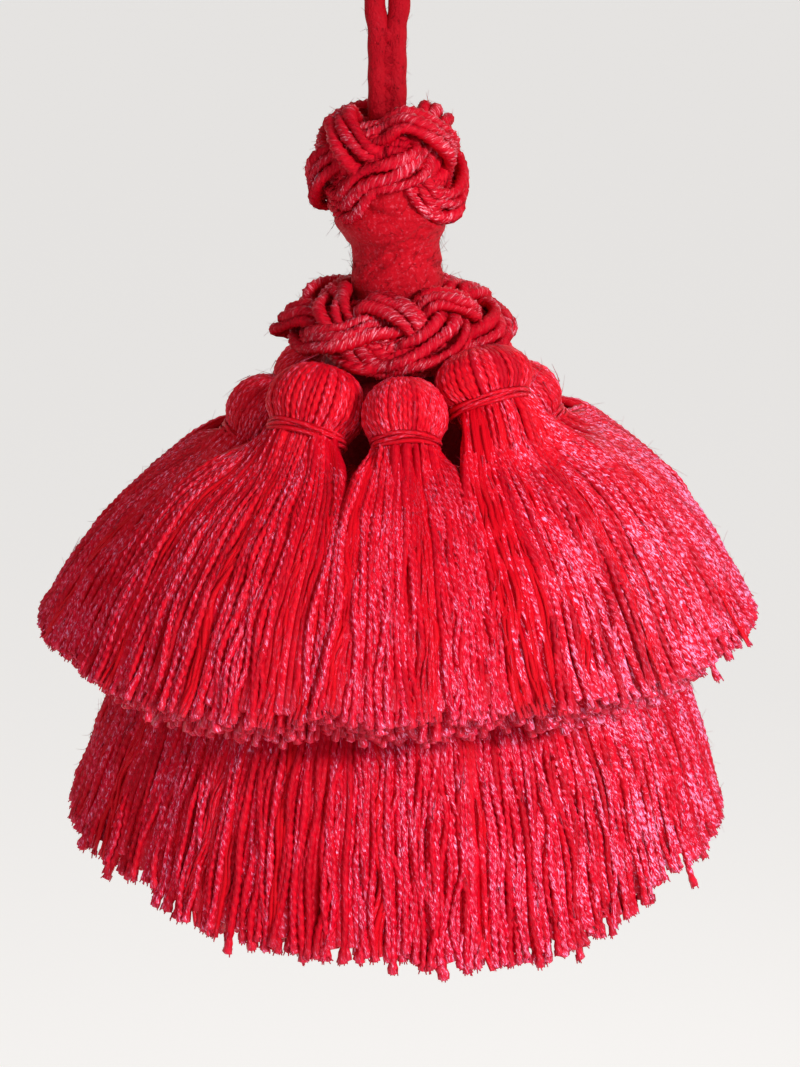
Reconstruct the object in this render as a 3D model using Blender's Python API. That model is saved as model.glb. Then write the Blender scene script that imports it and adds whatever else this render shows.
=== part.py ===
"""Silk tassel of two tiers of small tassels under a knotted collar, a wrapped neck and a knotted ball.

Lengths are in millimetres until they reach Blender. Heights are measured from the top of the ball, up being
positive. The world's origin is the inside top of the hanging loop's eye. Azimuths are in degrees from the
front, which faces -Y, and grow towards +X.
"""

import math
from collections import namedtuple

import bmesh
import bpy
import numpy as np
from mathutils import Euler, Matrix, Vector

MM = 0.001
BALL_TOP = -28.25
SHARP_ANGLE = math.radians(40)

# The neck leans between these heights, so that all below it hangs this far to the right of the ball.
LEAN = 1.1
LEAN_FROM = -10.0
LEAN_TO = -22.0

# Hanging loop: one cord, doubled, with an eye at its top. Its feet stand on the neck's top, inside the ball.
CORD_DIAMETER = 2.3
LEG_SPACING = 2.65
LEG_FOOT = -3.3
LEG_TOP = 13.5
EYE_CENTRE = 24.5
EYE_RADIUS = 5.0
EYE_POINTS = 10

# Both knots are one cord laid three times side by side, woven over and under itself round the neck. The
# section shows the three turns as ridges, as shares of the band's half width and half thickness.
BAND_HALF_WIDTH = 2.25
BAND_HALF_THICKNESS = 0.70
BAND_LIFT = 1.0
BAND_LEADS = 3
CROSSING_SHARPNESS = 2.4
SectionPoint = namedtuple("SectionPoint", "across out")
BAND_SECTION = [
    SectionPoint(-0.75, -1.00),
    SectionPoint(0.75, -1.00),
    SectionPoint(1.00, 0.10),
    SectionPoint(0.68, 1.00),
    SectionPoint(0.34, 0.40),
    SectionPoint(0.00, 1.00),
    SectionPoint(-0.34, 0.40),
    SectionPoint(-0.68, 1.00),
    SectionPoint(-1.00, 0.10),
]

# A knot's middle surface runs through its profile, from its upper edge to its lower one. Turned is the azimuth
# of one of its upper bends.
ProfilePoint = namedtuple("ProfilePoint", "radius height")
Knot = namedtuple("Knot", "name bights steps swing turned profile")
BALL = Knot(
    name="top_knot",
    bights=4,
    steps=100,
    swing=0.5,
    turned=7.0,
    profile=[
        ProfilePoint(5.3, -2.8),
        ProfilePoint(7.4, -4.9),
        ProfilePoint(8.2, -7.8),
        ProfilePoint(8.1, -10.4),
        ProfilePoint(7.8, -12.4),
    ],
)
COLLAR = Knot(
    name="collar_knot",
    bights=7,
    steps=105,
    swing=0.3,
    turned=180.0 / 7.0,
    profile=[
        ProfilePoint(7.6, -23.7),
        ProfilePoint(10.4, -25.2),
        ProfilePoint(12.9, -27.6),
    ],
)

# Wrapped neck: inside the ball, bare between the knots, and the bound foot under the collar.
NECK_SIDES = 20
NECK_PROFILE = [
    ProfilePoint(0.0, -3.6),
    ProfilePoint(3.6, -3.6),
    ProfilePoint(5.6, -5.6),
    ProfilePoint(6.1, -8.2),
    ProfilePoint(5.7, -12.0),
    ProfilePoint(5.65, -15.2),
    ProfilePoint(5.1, -17.0),
    ProfilePoint(5.15, -19.2),
    ProfilePoint(5.6, -21.6),
    ProfilePoint(5.0, -26.0),
    ProfilePoint(8.2, -31.0),
    ProfilePoint(9.6, -35.2),
    ProfilePoint(9.2, -40.0),
    ProfilePoint(9.0, -44.5),
    ProfilePoint(6.5, -47.6),
    ProfilePoint(0.0, -47.6),
]

# Small tassel: a turned head with a groove, in shares of its radius, and locks out of its underside.
HEAD_SIDES = 12
HeadPoint = namedtuple("HeadPoint", "radius along")
HEAD_PROFILE = [
    HeadPoint(0.00, -0.82),
    HeadPoint(0.54, -0.72),
    HeadPoint(0.88, -0.38),
    HeadPoint(1.00, 0.05),
    HeadPoint(0.96, 0.36),
    HeadPoint(0.80, 0.54),
    HeadPoint(0.80, 0.80),
]
UNDERSIDE = HEAD_PROFILE[-1]
ROOT_REACH = 0.90

# The thread tied round the groove of a head that shows.
TIE_ALONG = 0.68
TIE_GAP = 0.32
TIE_THICKNESS = 0.85
TIE_SIDES = 10

# A tier's stations say where its skirt passes, from its outside to its inside, how much of the way to its
# neighbours a tassel fills there, and how much of a tassel's own droop and hem apply. Rows of locks run from
# the outside in. A tassel's share says how it divides the room with its neighbours, and its head's length is
# that of a round head times head_length.
Station = namedtuple("Station", "fill outer_radius outer_height inner_radius inner_height droop hem")
Row = namedtuple("Row", "locks depth_from depth_to longer")
Tassel = namedtuple("Tassel", "azimuth head_radius head_length centre_radius centre_height droop hem share")
Tier = namedtuple("Tier", "name tilt tied stations rows tassels")
UPPER = Tier(
    name="upper",
    tilt=32.0,
    tied=True,
    stations=[
        Station(0.95, 29.5, -41.4, 27.0, -45.8, 1.0, 0.0),
        Station(1.00, 38.9, -51.8, 35.3, -55.6, 0.6, 0.2),
        Station(1.00, 44.3, -62.0, 39.8, -65.6, 0.0, 1.0),
    ],
    rows=[
        Row(9, 0.0, 0.5, 0.0),
        Row(8, 0.5, 1.0, 0.0),
    ],
    tassels=[
        Tassel(3.0, 5.2, 1.00, 18.0, -35.0, 0.5, -0.6, 0.70),
        Tassel(38.5, 5.7, 0.76, 16.6, -31.9, -0.5, 0.0, 1.15),
        Tassel(84.0, 5.4, 1.00, 15.0, -36.4, 1.4, 0.5, 1.00),
        Tassel(138.0, 5.3, 1.00, 15.6, -35.5, 1.2, 0.5, 1.00),
        Tassel(180.0, 5.3, 1.00, 16.2, -35.4, 1.8, 0.5, 1.00),
        Tassel(222.0, 5.3, 1.00, 15.9, -36.7, 3.4, 3.8, 1.10),
        Tassel(275.5, 5.6, 1.00, 15.6, -38.4, 4.5, 1.0, 1.00),
        Tassel(325.5, 5.6, 1.00, 16.3, -34.0, 1.5, 0.5, 1.10),
    ],
)
LOWER = Tier(
    name="lower",
    tilt=26.0,
    tied=False,
    stations=[
        Station(0.90, 27.5, -56.0, 12.0, -59.0, 0.8, 0.0),
        Station(1.00, 37.6, -73.0, 12.0, -76.0, 1.0, 0.2),
        Station(1.00, 41.8, -91.8, 11.0, -98.0, 0.2, 1.0),
    ],
    rows=[
        Row(8, 0.00, 0.14, 0.0),
        Row(7, 0.15, 0.30, 0.02),
        Row(5, 0.52, 0.72, 0.0),
    ],
    tassels=[
        Tassel(21.0, 4.8, 1.00, 14.4, -45.2, 0.0, 1.2, 1.00),
        Tassel(64.0, 4.8, 1.00, 14.4, -45.6, 0.0, -4.2, 0.80),
        Tassel(110.0, 4.8, 1.00, 14.4, -45.2, 0.0, -2.0, 1.00),
        Tassel(156.0, 4.8, 1.00, 14.4, -45.0, 0.0, -1.5, 1.00),
        Tassel(203.0, 4.8, 1.00, 14.4, -46.0, 1.0, -1.0, 1.15),
        Tassel(250.0, 4.8, 1.00, 14.4, -48.6, 3.0, -4.0, 1.00),
        Tassel(296.0, 4.8, 1.00, 14.4, -48.4, 3.5, -4.8, 1.00),
        Tassel(339.0, 4.8, 1.00, 14.4, -45.6, 1.0, -0.8, 1.20),
    ],
)
ROOT_INSET = 0.2
LOCK_INSET = 0.2
SKIRT_INSET = 0.2
LOBE_DEPTH = 0.9
LOBE_LIFT = 1.0
END_SCATTER = 0.035
WIDTH_SCATTER = 0.22


def clear_scene():
    for obj in list(bpy.data.objects):
        bpy.data.objects.remove(obj, do_unlink=True)


def silk(name, colour, roughness):
    """A dyed silk material with a soft sheen."""
    material = bpy.data.materials.new(name)
    material.use_nodes = True
    shader = material.node_tree.nodes["Principled BSDF"]
    shader.inputs["Base Color"].default_value = (*colour, 1.0)
    shader.inputs["Roughness"].default_value = roughness
    shader.inputs["Sheen Weight"].default_value = 0.4
    material.diffuse_color = (*colour, 1.0)
    return material


def add_empty(name, x, height):
    """A frame on the axis at a height, for pieces to hang from."""
    empty = bpy.data.objects.new(name, None)
    empty.location = Vector((x, 0.0, height)) * MM
    bpy.context.scene.collection.objects.link(empty)
    return empty


def add_object(name, data, material, parent):
    data.materials.append(material)
    obj = bpy.data.objects.new(name, data)
    obj.parent = parent
    bpy.context.scene.collection.objects.link(obj)
    return obj


def add_solid(name, solid, material, parent):
    """An object from a closed bmesh in millimetres, with its round faces shaded smooth."""
    bmesh.ops.recalc_face_normals(solid, faces=solid.faces)
    bmesh.ops.scale(solid, vec=(MM, MM, MM), verts=solid.verts)
    mesh = bpy.data.meshes.new(name)
    solid.to_mesh(mesh)
    solid.free()
    mesh.shade_smooth()
    mesh.set_sharp_from_angle(angle=SHARP_ANGLE)
    return add_object(name, mesh, material, parent)


def add_tube(name, route, closed, diameter, resolution, material, parent):
    """A round tube along a route in millimetres, its ends filled if it has any."""
    curve = bpy.data.curves.new(name, "CURVE")
    curve.dimensions = "3D"
    curve.bevel_depth = diameter / 2.0 * MM
    curve.bevel_resolution = resolution
    curve.use_fill_caps = not closed
    spline = curve.splines.new("POLY")
    spline.use_cyclic_u = closed
    spline.use_smooth = True
    spline.points.add(len(route) - 1)
    for point, place in zip(spline.points, route):
        point.co = (*(Vector(place) * MM), 1.0)
    return add_object(name, curve, material, parent)


def spun(profile, sides):
    """A bmesh turned about Z from (radius, height) points, with the edges of its last ring left open."""
    solid = bmesh.new()
    line = [solid.verts.new((radius, 0.0, height)) for radius, height in profile]
    edges = [solid.edges.new(pair) for pair in zip(line, line[1:])]
    bmesh.ops.spin(
        solid,
        geom=line + edges,
        cent=(0.0, 0.0, 0.0),
        axis=(0.0, 0.0, 1.0),
        angle=2.0 * math.pi,
        steps=sides,
        use_duplicate=False,
    )
    bmesh.ops.remove_doubles(solid, verts=solid.verts, dist=0.001)
    return solid


def lean_at(height):
    """How far the neck has leant at a height."""
    share = min(max((height - LEAN_FROM) / (LEAN_TO - LEAN_FROM), 0.0), 1.0)
    return LEAN * share**2 * (3.0 - 2.0 * share)


def loop_route():
    """Points of the doubled cord: up one leg, round the eye and down the other."""
    leg = [(LEG_SPACING / 2.0, height) for height in np.linspace(LEG_FOOT, LEG_TOP, 4)]
    rise = np.linspace(0.0, 1.0, 7)[1:-1]
    ease = rise**2 * (3.0 - 2.0 * rise)
    flare_x = LEG_SPACING / 2.0 + (EYE_RADIUS - LEG_SPACING / 2.0) * ease
    flare_height = LEG_TOP + (EYE_CENTRE - LEG_TOP) * rise
    side = leg + list(zip(flare_x, flare_height))
    turn = np.linspace(0.0, math.pi, EYE_POINTS)
    eye = [(EYE_RADIUS * math.cos(angle), EYE_CENTRE + EYE_RADIUS * math.sin(angle)) for angle in turn]
    back = [(-x, height) for x, height in reversed(side)]
    return [(x, 0.0, height) for x, height in side + eye + back]


def smooth_profile(profile, share):
    """Radius and height at these shares of a profile's length, on one curve through all its points."""
    places = np.array(profile)
    lengths = np.linalg.norm(np.diff(places, axis=0), axis=1)
    knots = np.concatenate([[0.0], np.cumsum(lengths)]) / lengths.sum()
    weights = np.linalg.solve(np.vander(knots), places)
    return np.vander(share, len(knots)) @ weights


def knot_frames(knot):
    """Centre, sideways and outward directions of the band at each step.

    The cord goes BAND_LEADS times round while it swings between the knot's edges, over and under in turn.
    """
    step = np.linspace(0.0, 2.0 * math.pi, knot.steps, endpoint=False)
    phase = knot.bights * step
    turn = math.radians(knot.turned) + BAND_LEADS * step
    turn += knot.swing / (2.0 * knot.bights) * np.sin(2.0 * phase)
    lift = BAND_LIFT * np.tanh(CROSSING_SHARPNESS * np.sin(2.0 * phase)) / math.tanh(CROSSING_SHARPNESS)
    share = (1.0 - np.cos(phase)) / 2.0
    nearby = 0.01
    place = smooth_profile(knot.profile, share)
    slope = smooth_profile(knot.profile, share + nearby) - smooth_profile(knot.profile, share - nearby)
    slope /= np.linalg.norm(slope, axis=1)[:, None]
    out = np.stack([np.sin(turn), -np.cos(turn), np.zeros_like(turn)], axis=1)
    up = np.array([0.0, 0.0, 1.0])
    normal = slope[:, :1] * up - slope[:, 1:] * out
    centre = place[:, :1] * out + place[:, 1:] * up + lift[:, None] * normal
    along = np.roll(centre, -1, axis=0) - np.roll(centre, 1, axis=0)
    across = np.cross(along, normal)
    across /= np.linalg.norm(across, axis=1)[:, None]
    raised = np.cross(across, along)
    raised /= np.linalg.norm(raised, axis=1)[:, None]
    return centre, across, raised


def make_knot(knot, material, parent):
    """A knot as one closed band with the section's ridges."""
    solid = bmesh.new()
    section = np.array(BAND_SECTION) * (BAND_HALF_WIDTH, BAND_HALF_THICKNESS)
    rings = []
    for centre, across, raised in zip(*knot_frames(knot)):
        rings.append([solid.verts.new(centre + x * across + y * raised) for x, y in section])
    for ring, following in zip(rings, rings[1:] + rings[:1]):
        for side in range(len(section)):
            before = side - 1
            solid.faces.new((ring[before], ring[side], following[side], following[before]))
    add_solid(knot.name, solid, material, parent)


def make_neck(material, parent):
    solid = spun(NECK_PROFILE, NECK_SIDES)
    for vert in solid.verts:
        vert.co.x += lean_at(vert.co.z)
    add_solid("wrapped_neck", solid, material, parent)


def head_matrix(tier, tassel):
    """Puts a head's own frame in its place and gives it its length.

    -Z is the way its skirt leaves it and -Y faces outwards.
    """
    angle = math.radians(tassel.azimuth)
    place = Vector(
        (
            tassel.centre_radius * math.sin(angle),
            -tassel.centre_radius * math.cos(angle),
            tassel.centre_height,
        )
    )
    turned = Euler((-math.radians(tier.tilt), 0.0, angle)).to_matrix().to_4x4()
    return Matrix.Translation(place) @ turned @ Matrix.Diagonal((1.0, 1.0, tassel.head_length, 1.0))


def room_beside(tier, index):
    """Degrees from a tassel's middle to each of its two bounds."""
    here = tier.tassels[index]
    room = []
    for step in (-1, 1):
        other = tier.tassels[(index + step) % len(tier.tassels)]
        apart = step * (other.azimuth - here.azimuth) % 360.0
        room.append(apart * here.share / (here.share + other.share))
    return room


def root_place(head_radius, side, depth):
    """A point of the underside in the head's frame. side is -1 to 1 and depth is 0 at the outer edge to 1."""
    height = 1.0 - 2.0 * depth
    reach = UNDERSIDE.radius * head_radius * ROOT_REACH
    return Vector(
        (
            side * math.sqrt(1.0 - height**2 / 2.0) * reach,
            -height * math.sqrt(1.0 - side**2 / 2.0) * reach,
            -UNDERSIDE.along * head_radius,
        )
    )


def skirt_place(tier, index, station, side, depth):
    """A point of the skirt at a station, below its tier's frame. side and depth are as in root_place."""
    tassel = tier.tassels[index]
    before, after = room_beside(tier, index)
    room = math.radians((after if side > 0.0 else before) * station.fill)
    radius = station.outer_radius + depth * (station.inner_radius - station.outer_radius)
    height = station.outer_height + depth * (station.inner_height - station.outer_height)
    angle = math.radians(tassel.azimuth) + side * (room - SKIRT_INSET / radius)
    radius -= LOBE_DEPTH * side**4
    height += LOBE_LIFT * side**4 - station.droop * tassel.droop - station.hem * tassel.hem
    return Vector((radius * math.sin(angle), -radius * math.cos(angle), height))


def cell_corners(sides, depths, narrow, thin):
    """The four corners of a lock's cell, drawn in from its bounds."""
    left, right = sides[0] + narrow, sides[1] - narrow
    outer, inner = depths[0] + thin, depths[1] - thin
    return [(left, outer), (left, inner), (right, inner), (right, outer)]


def lock_rings(tier, index, sides, row, longer):
    """A lock's four corners at each station, down to its cut end."""
    rings = []
    for station in tier.stations:
        width = math.radians(sum(room_beside(tier, index)) / 2.0) * station.outer_radius * station.fill
        thickness = math.dist(
            (station.outer_radius, station.outer_height),
            (station.inner_radius, station.inner_height),
        )
        depths = (row.depth_from, row.depth_to)
        corners = cell_corners(sides, depths, LOCK_INSET / width, LOCK_INSET / thickness)
        rings.append([skirt_place(tier, index, station, side, depth) for side, depth in corners])
    rings[-1] = [end + (end - above) * longer for end, above in zip(rings[-1], rings[-2])]
    return rings


def grow_lock(solid, roots, rings):
    """Extrudes a root face of the underside through a lock's rings. It returns the root's edges."""
    face = solid.faces.new([solid.verts.new(root) for root in roots])
    edges = list(face.edges)
    for ring in rings:
        face = bmesh.ops.extrude_discrete_faces(solid, faces=[face])["faces"][0]
        for vert, place in zip(face.verts, ring):
            vert.co = place
    return edges


def make_small_tassel(tier, index, material, parent, rng):
    """One small tassel: its turned head, and the locks that grow from its underside."""
    tassel = tier.tassels[index]
    to_tier = head_matrix(tier, tassel)
    to_head = to_tier.inverted()
    profile = [(point.radius * tassel.head_radius, -point.along * tassel.head_radius) for point in HEAD_PROFILE]
    solid = spun(profile, HEAD_SIDES)
    open_edges = [edge for edge in solid.edges if edge.is_boundary]
    root_inset = ROOT_INSET / (UNDERSIDE.radius * tassel.head_radius)
    locks_in_all = sum(row.locks for row in tier.rows)
    root_from = 0.0
    for row in tier.rows:
        root_to = root_from + row.locks / locks_in_all
        bounds = np.linspace(-1.0, 1.0, row.locks + 1)
        bounds[1:-1] += rng.uniform(-WIDTH_SCATTER, WIDTH_SCATTER, row.locks - 1) / row.locks
        for sides in zip(bounds, bounds[1:]):
            corners = cell_corners(sides, (root_from, root_to), root_inset, root_inset / 2.0)
            roots = [root_place(tassel.head_radius, side, depth) for side, depth in corners]
            longer = row.longer + rng.uniform(-END_SCATTER, END_SCATTER)
            rings = lock_rings(tier, index, sides, row, longer)
            rings = [[to_head @ place for place in ring] for ring in rings]
            open_edges += grow_lock(solid, roots, rings)
        root_from = root_to
    bmesh.ops.triangle_fill(solid, edges=open_edges, use_beauty=True, normal=(0.0, 0.0, -1.0))
    obj = add_solid(f"{tier.name}_tassel_{index + 1}", solid, material, parent)
    obj.location = to_tier.translation * MM
    obj.rotation_euler = to_tier.to_euler()
    obj.scale = to_tier.to_scale()
    return obj


def make_tie(tier, index, material, head):
    """The thread tied round a head's groove, placed by its parent, the head."""
    head_radius = tier.tassels[index].head_radius
    radius = UNDERSIDE.radius * head_radius + TIE_GAP + TIE_THICKNESS / 2.0
    height = -TIE_ALONG * head_radius
    turn = np.linspace(0.0, 2.0 * math.pi, TIE_SIDES, endpoint=False)
    route = [(radius * math.cos(angle), radius * math.sin(angle), height) for angle in turn]
    add_tube(f"{tier.name}_tie_{index + 1}", route, True, TIE_THICKNESS, 0, material, head)


def main():
    clear_scene()
    cord = silk("hanging_cord_silk", (0.52, 0.015, 0.045), 0.6)
    knotted = silk("knot_cord_silk", (0.46, 0.012, 0.05), 0.5)
    wrapped = silk("neck_wrap_silk", (0.50, 0.012, 0.04), 0.6)
    tufted = silk("tassel_silk", (0.60, 0.015, 0.06), 0.45)
    thread = silk("tie_thread_silk", (0.50, 0.012, 0.05), 0.5)
    ball_frame = add_empty("ball_frame", 0.0, BALL_TOP)
    skirt_frame = add_empty("skirt_frame", LEAN, BALL_TOP)
    add_tube("hanging_loop", loop_route(), False, CORD_DIAMETER, 2, cord, ball_frame)
    make_knot(BALL, knotted, ball_frame)
    make_neck(wrapped, ball_frame)
    make_knot(COLLAR, knotted, skirt_frame)
    for seed, tier in enumerate((UPPER, LOWER), start=1):
        rng = np.random.default_rng(seed)
        for index in range(len(tier.tassels)):
            head = make_small_tassel(tier, index, tufted, skirt_frame, rng)
            if tier.tied:
                make_tie(tier, index, thread, head)


main()
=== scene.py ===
"""Looks of the silk tassel: two tiers of small tassels, knotted collar, wrapped neck and knotted ball.

Lengths are in millimetres until they reach Blender. Heights are measured from the top of the ball, up being
positive, and azimuths in degrees from the front, which faces -Y, growing towards +X. The world's origin is
the inside top of the hanging loop's eye.
"""

import logging
import math
from dataclasses import dataclass, field
from enum import Enum
from functools import cached_property

import bpy
import numpy as np
from mathutils import Euler, Matrix, Vector

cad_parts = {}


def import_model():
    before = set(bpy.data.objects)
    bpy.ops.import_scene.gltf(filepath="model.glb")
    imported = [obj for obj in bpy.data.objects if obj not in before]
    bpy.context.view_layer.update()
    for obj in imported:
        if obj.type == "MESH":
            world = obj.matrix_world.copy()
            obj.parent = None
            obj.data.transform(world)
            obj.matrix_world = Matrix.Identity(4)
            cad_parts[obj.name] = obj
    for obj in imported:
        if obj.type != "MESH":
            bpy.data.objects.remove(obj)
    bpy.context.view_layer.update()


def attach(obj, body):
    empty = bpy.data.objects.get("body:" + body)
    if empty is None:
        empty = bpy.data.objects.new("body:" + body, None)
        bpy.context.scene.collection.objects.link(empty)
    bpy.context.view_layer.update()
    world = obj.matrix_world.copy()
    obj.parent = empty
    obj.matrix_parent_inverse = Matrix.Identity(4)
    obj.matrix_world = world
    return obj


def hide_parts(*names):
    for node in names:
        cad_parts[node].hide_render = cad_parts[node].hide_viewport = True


log = logging.getLogger("silk_tassel")

Array = np.ndarray
Colour = tuple[float, float, float]
Bounds = tuple[float, float]
Pairs = tuple[Bounds, ...]

MM = 0.001
FULL_TURN = 2.0 * math.pi
UP = np.array([0.0, 0.0, 1.0])
FRONT = np.array([0.0, -1.0, 0.0])
BALL_TOP = -28.25
LEAN = 1.1
LEAN_FROM = -10.0
LEAN_TO = -22.0


# ---------------------------------------------------------------- shapes from arrays


def eased(value: Array, low: float, high: float) -> Array:
    """A smooth step from 0 at low to 1 at high: 3x^2 - 2x^3 of the clipped share x."""
    share = np.clip((np.asarray(value) - low) / (high - low), 0.0, 1.0)
    return share * share * (3.0 - 2.0 * share)


def unit(vectors: Array) -> Array:
    """Vectors of any shape (..., 3), each divided by its own length."""
    return vectors / np.maximum(np.linalg.norm(vectors, axis=-1, keepdims=True), 1e-9)


def around(radius: Array | float, turn: Array, height: Array | float) -> Array:
    """Points (..., 3) at a distance from the axis, an angle from the front and a height."""
    return np.stack(np.broadcast_arrays(radius * np.sin(turn), -radius * np.cos(turn), height), axis=-1)


def run_of(points: Array) -> Array:
    """The length of lines (..., samples, 3) up to each of their points."""
    steps = np.linalg.norm(np.diff(points, axis=-2), axis=-1)
    return np.concatenate([np.zeros((*steps.shape[:-1], 1)), np.cumsum(steps, axis=-1)], axis=-1)


def heading_of(points: Array, closed: bool = False) -> Array:
    """The directions of lines (..., samples, 3) at each of their points, as unit vectors.

    Args:
        points: Points of each line.
        closed: Whether the lines are rings.

    Returns:
        Unit vectors, of the points' shape: the difference between the neighbours of each point.
    """
    if closed:
        return unit(np.roll(points, -1, axis=-2) - np.roll(points, 1, axis=-2))
    return unit(np.gradient(points, axis=-2))


def curve_through(points: Array, knots: Array, at: Array) -> Array:
    """Smooth curves through control points: cubic Hermite pieces whose slopes are central differences.

    Args:
        points: Control points of each curve, (curves, controls, 3).
        knots: The parameter at each control point, growing, (controls,).
        at: The parameters to evaluate, (samples,).

    Returns:
        Points on each curve, (curves, samples, 3).
    """
    slopes = np.gradient(points, knots, axis=1)
    piece = np.clip(np.searchsorted(knots, at, side="right") - 1, 0, len(knots) - 2)
    span = (knots[piece + 1] - knots[piece])[None, :, None]
    t = ((at - knots[piece])[None, :, None]) / span
    start, end = points[:, piece], points[:, piece + 1]
    leave, arrive = slopes[:, piece] * span, slopes[:, piece + 1] * span
    return (
        (2 * t**3 - 3 * t**2 + 1) * start
        + (t**3 - 2 * t**2 + t) * leave
        + (3 * t**2 - 2 * t**3) * end
        + (t**3 - t**2) * arrive
    )


def wander(rng: np.random.Generator, count: int, along: Array, wavelengths: tuple[float, ...]) -> Array:
    """Smooth random numbers along strands: a sum of sines of these wavelengths with random phases and sizes.

    Args:
        rng: The random source.
        count: How many strands.
        along: Length along the strand, (samples,) or (count, samples).
        wavelengths: Wavelengths in the units of along.

    Returns:
        Numbers of about unit spread, (count, samples).
    """
    lengths = np.atleast_2d(along)
    total = np.zeros((count, lengths.shape[1]))
    for wavelength in wavelengths:
        phase = rng.uniform(0.0, FULL_TURN, (count, 1))
        size = rng.normal(0.0, 1.0, (count, 1))
        stretch = wavelength * rng.uniform(0.75, 1.3, (count, 1))
        total += size * np.sin(FULL_TURN * lengths / stretch + phase)
    return total / math.sqrt(len(wavelengths))


def in_world(points: Array) -> Array:
    """Metres in the part's frame from millimetres below the ball's top."""
    return (points + BALL_TOP * UP) * MM


def lean_at(height: Array) -> Array:
    """How far the neck has leant at a height: LEAN times a smooth step."""
    return LEAN * eased(-np.asarray(height), -LEAN_FROM, -LEAN_TO)


def in_scene(name: str, data: bpy.types.ID) -> bpy.types.Object:
    """A new object in the scene, of a mesh, a light or a camera.

    Args:
        name: The object's name.
        data: What it shows.

    Returns:
        The new object.
    """
    obj = bpy.data.objects.new(name, data)
    bpy.context.scene.collection.objects.link(obj)
    return obj


@dataclass
class Shape:
    """A mesh in the making, in millimetres, with what its material reads.

    Faces have three or four corners. Each corner has a UV, and each point has the named values.
    """

    points: Array
    quads: Array
    quad_uv: Array
    tris: Array
    tri_uv: Array
    values: dict[str, Array]

    @staticmethod
    def joined(shapes: list["Shape"]) -> "Shape":
        """One shape of several, which have the same named values.

        Args:
            shapes: The shapes, at least one.

        Returns:
            A shape with the points and faces of all of them.
        """
        starts = np.cumsum([0] + [len(shape.points) for shape in shapes])
        names = shapes[0].values
        return Shape(
            points=np.concatenate([shape.points for shape in shapes]),
            quads=np.concatenate([shape.quads + start for shape, start in zip(shapes, starts)]),
            quad_uv=np.concatenate([shape.quad_uv for shape in shapes]),
            tris=np.concatenate([shape.tris + start for shape, start in zip(shapes, starts)]),
            tri_uv=np.concatenate([shape.tri_uv for shape in shapes]),
            values={name: np.concatenate([shape.values[name] for shape in shapes]) for name in names},
        )

    def moved(self, x: float) -> "Shape":
        """The shape, moved sideways."""
        self.points = self.points + np.array([x, 0.0, 0.0])
        return self

    def to_object(self, name: str, material: bpy.types.Material) -> bpy.types.Object:
        """An object in the scene, with the shape's place in its mesh.

        Args:
            name: The object's name.
            material: The finish that it takes.

        Returns:
            The new object.
        """
        mesh = bpy.data.meshes.new(name)
        corners = np.concatenate([self.quads.ravel(), self.tris.ravel()]).astype(np.int32)
        quad_starts = np.arange(len(self.quads)) * 4
        tri_starts = len(self.quads) * 4 + np.arange(len(self.tris)) * 3
        starts = np.concatenate([quad_starts, tri_starts]).astype(np.int32)
        mesh.vertices.add(len(self.points))
        mesh.vertices.foreach_set("co", in_world(self.points).astype(np.float32).ravel())
        mesh.loops.add(len(corners))
        mesh.loops.foreach_set("vertex_index", corners)
        mesh.polygons.add(len(starts))
        mesh.polygons.foreach_set("loop_start", starts)
        mesh.update(calc_edges=True)
        uv = mesh.uv_layers.new(name="strand")
        corner_uv = np.concatenate([self.quad_uv.reshape(-1, 2), self.tri_uv.reshape(-1, 2)])
        uv.data.foreach_set("uv", corner_uv.astype(np.float32).ravel())
        for value_name, numbers in self.values.items():
            attribute = mesh.attributes.new(value_name, "FLOAT", "POINT")
            attribute.data.foreach_set("value", numbers.astype(np.float32).ravel())
        mesh.shade_smooth()
        mesh.validate(clean_customdata=False)
        mesh.materials.append(material)
        return in_scene(name, mesh)


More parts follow.
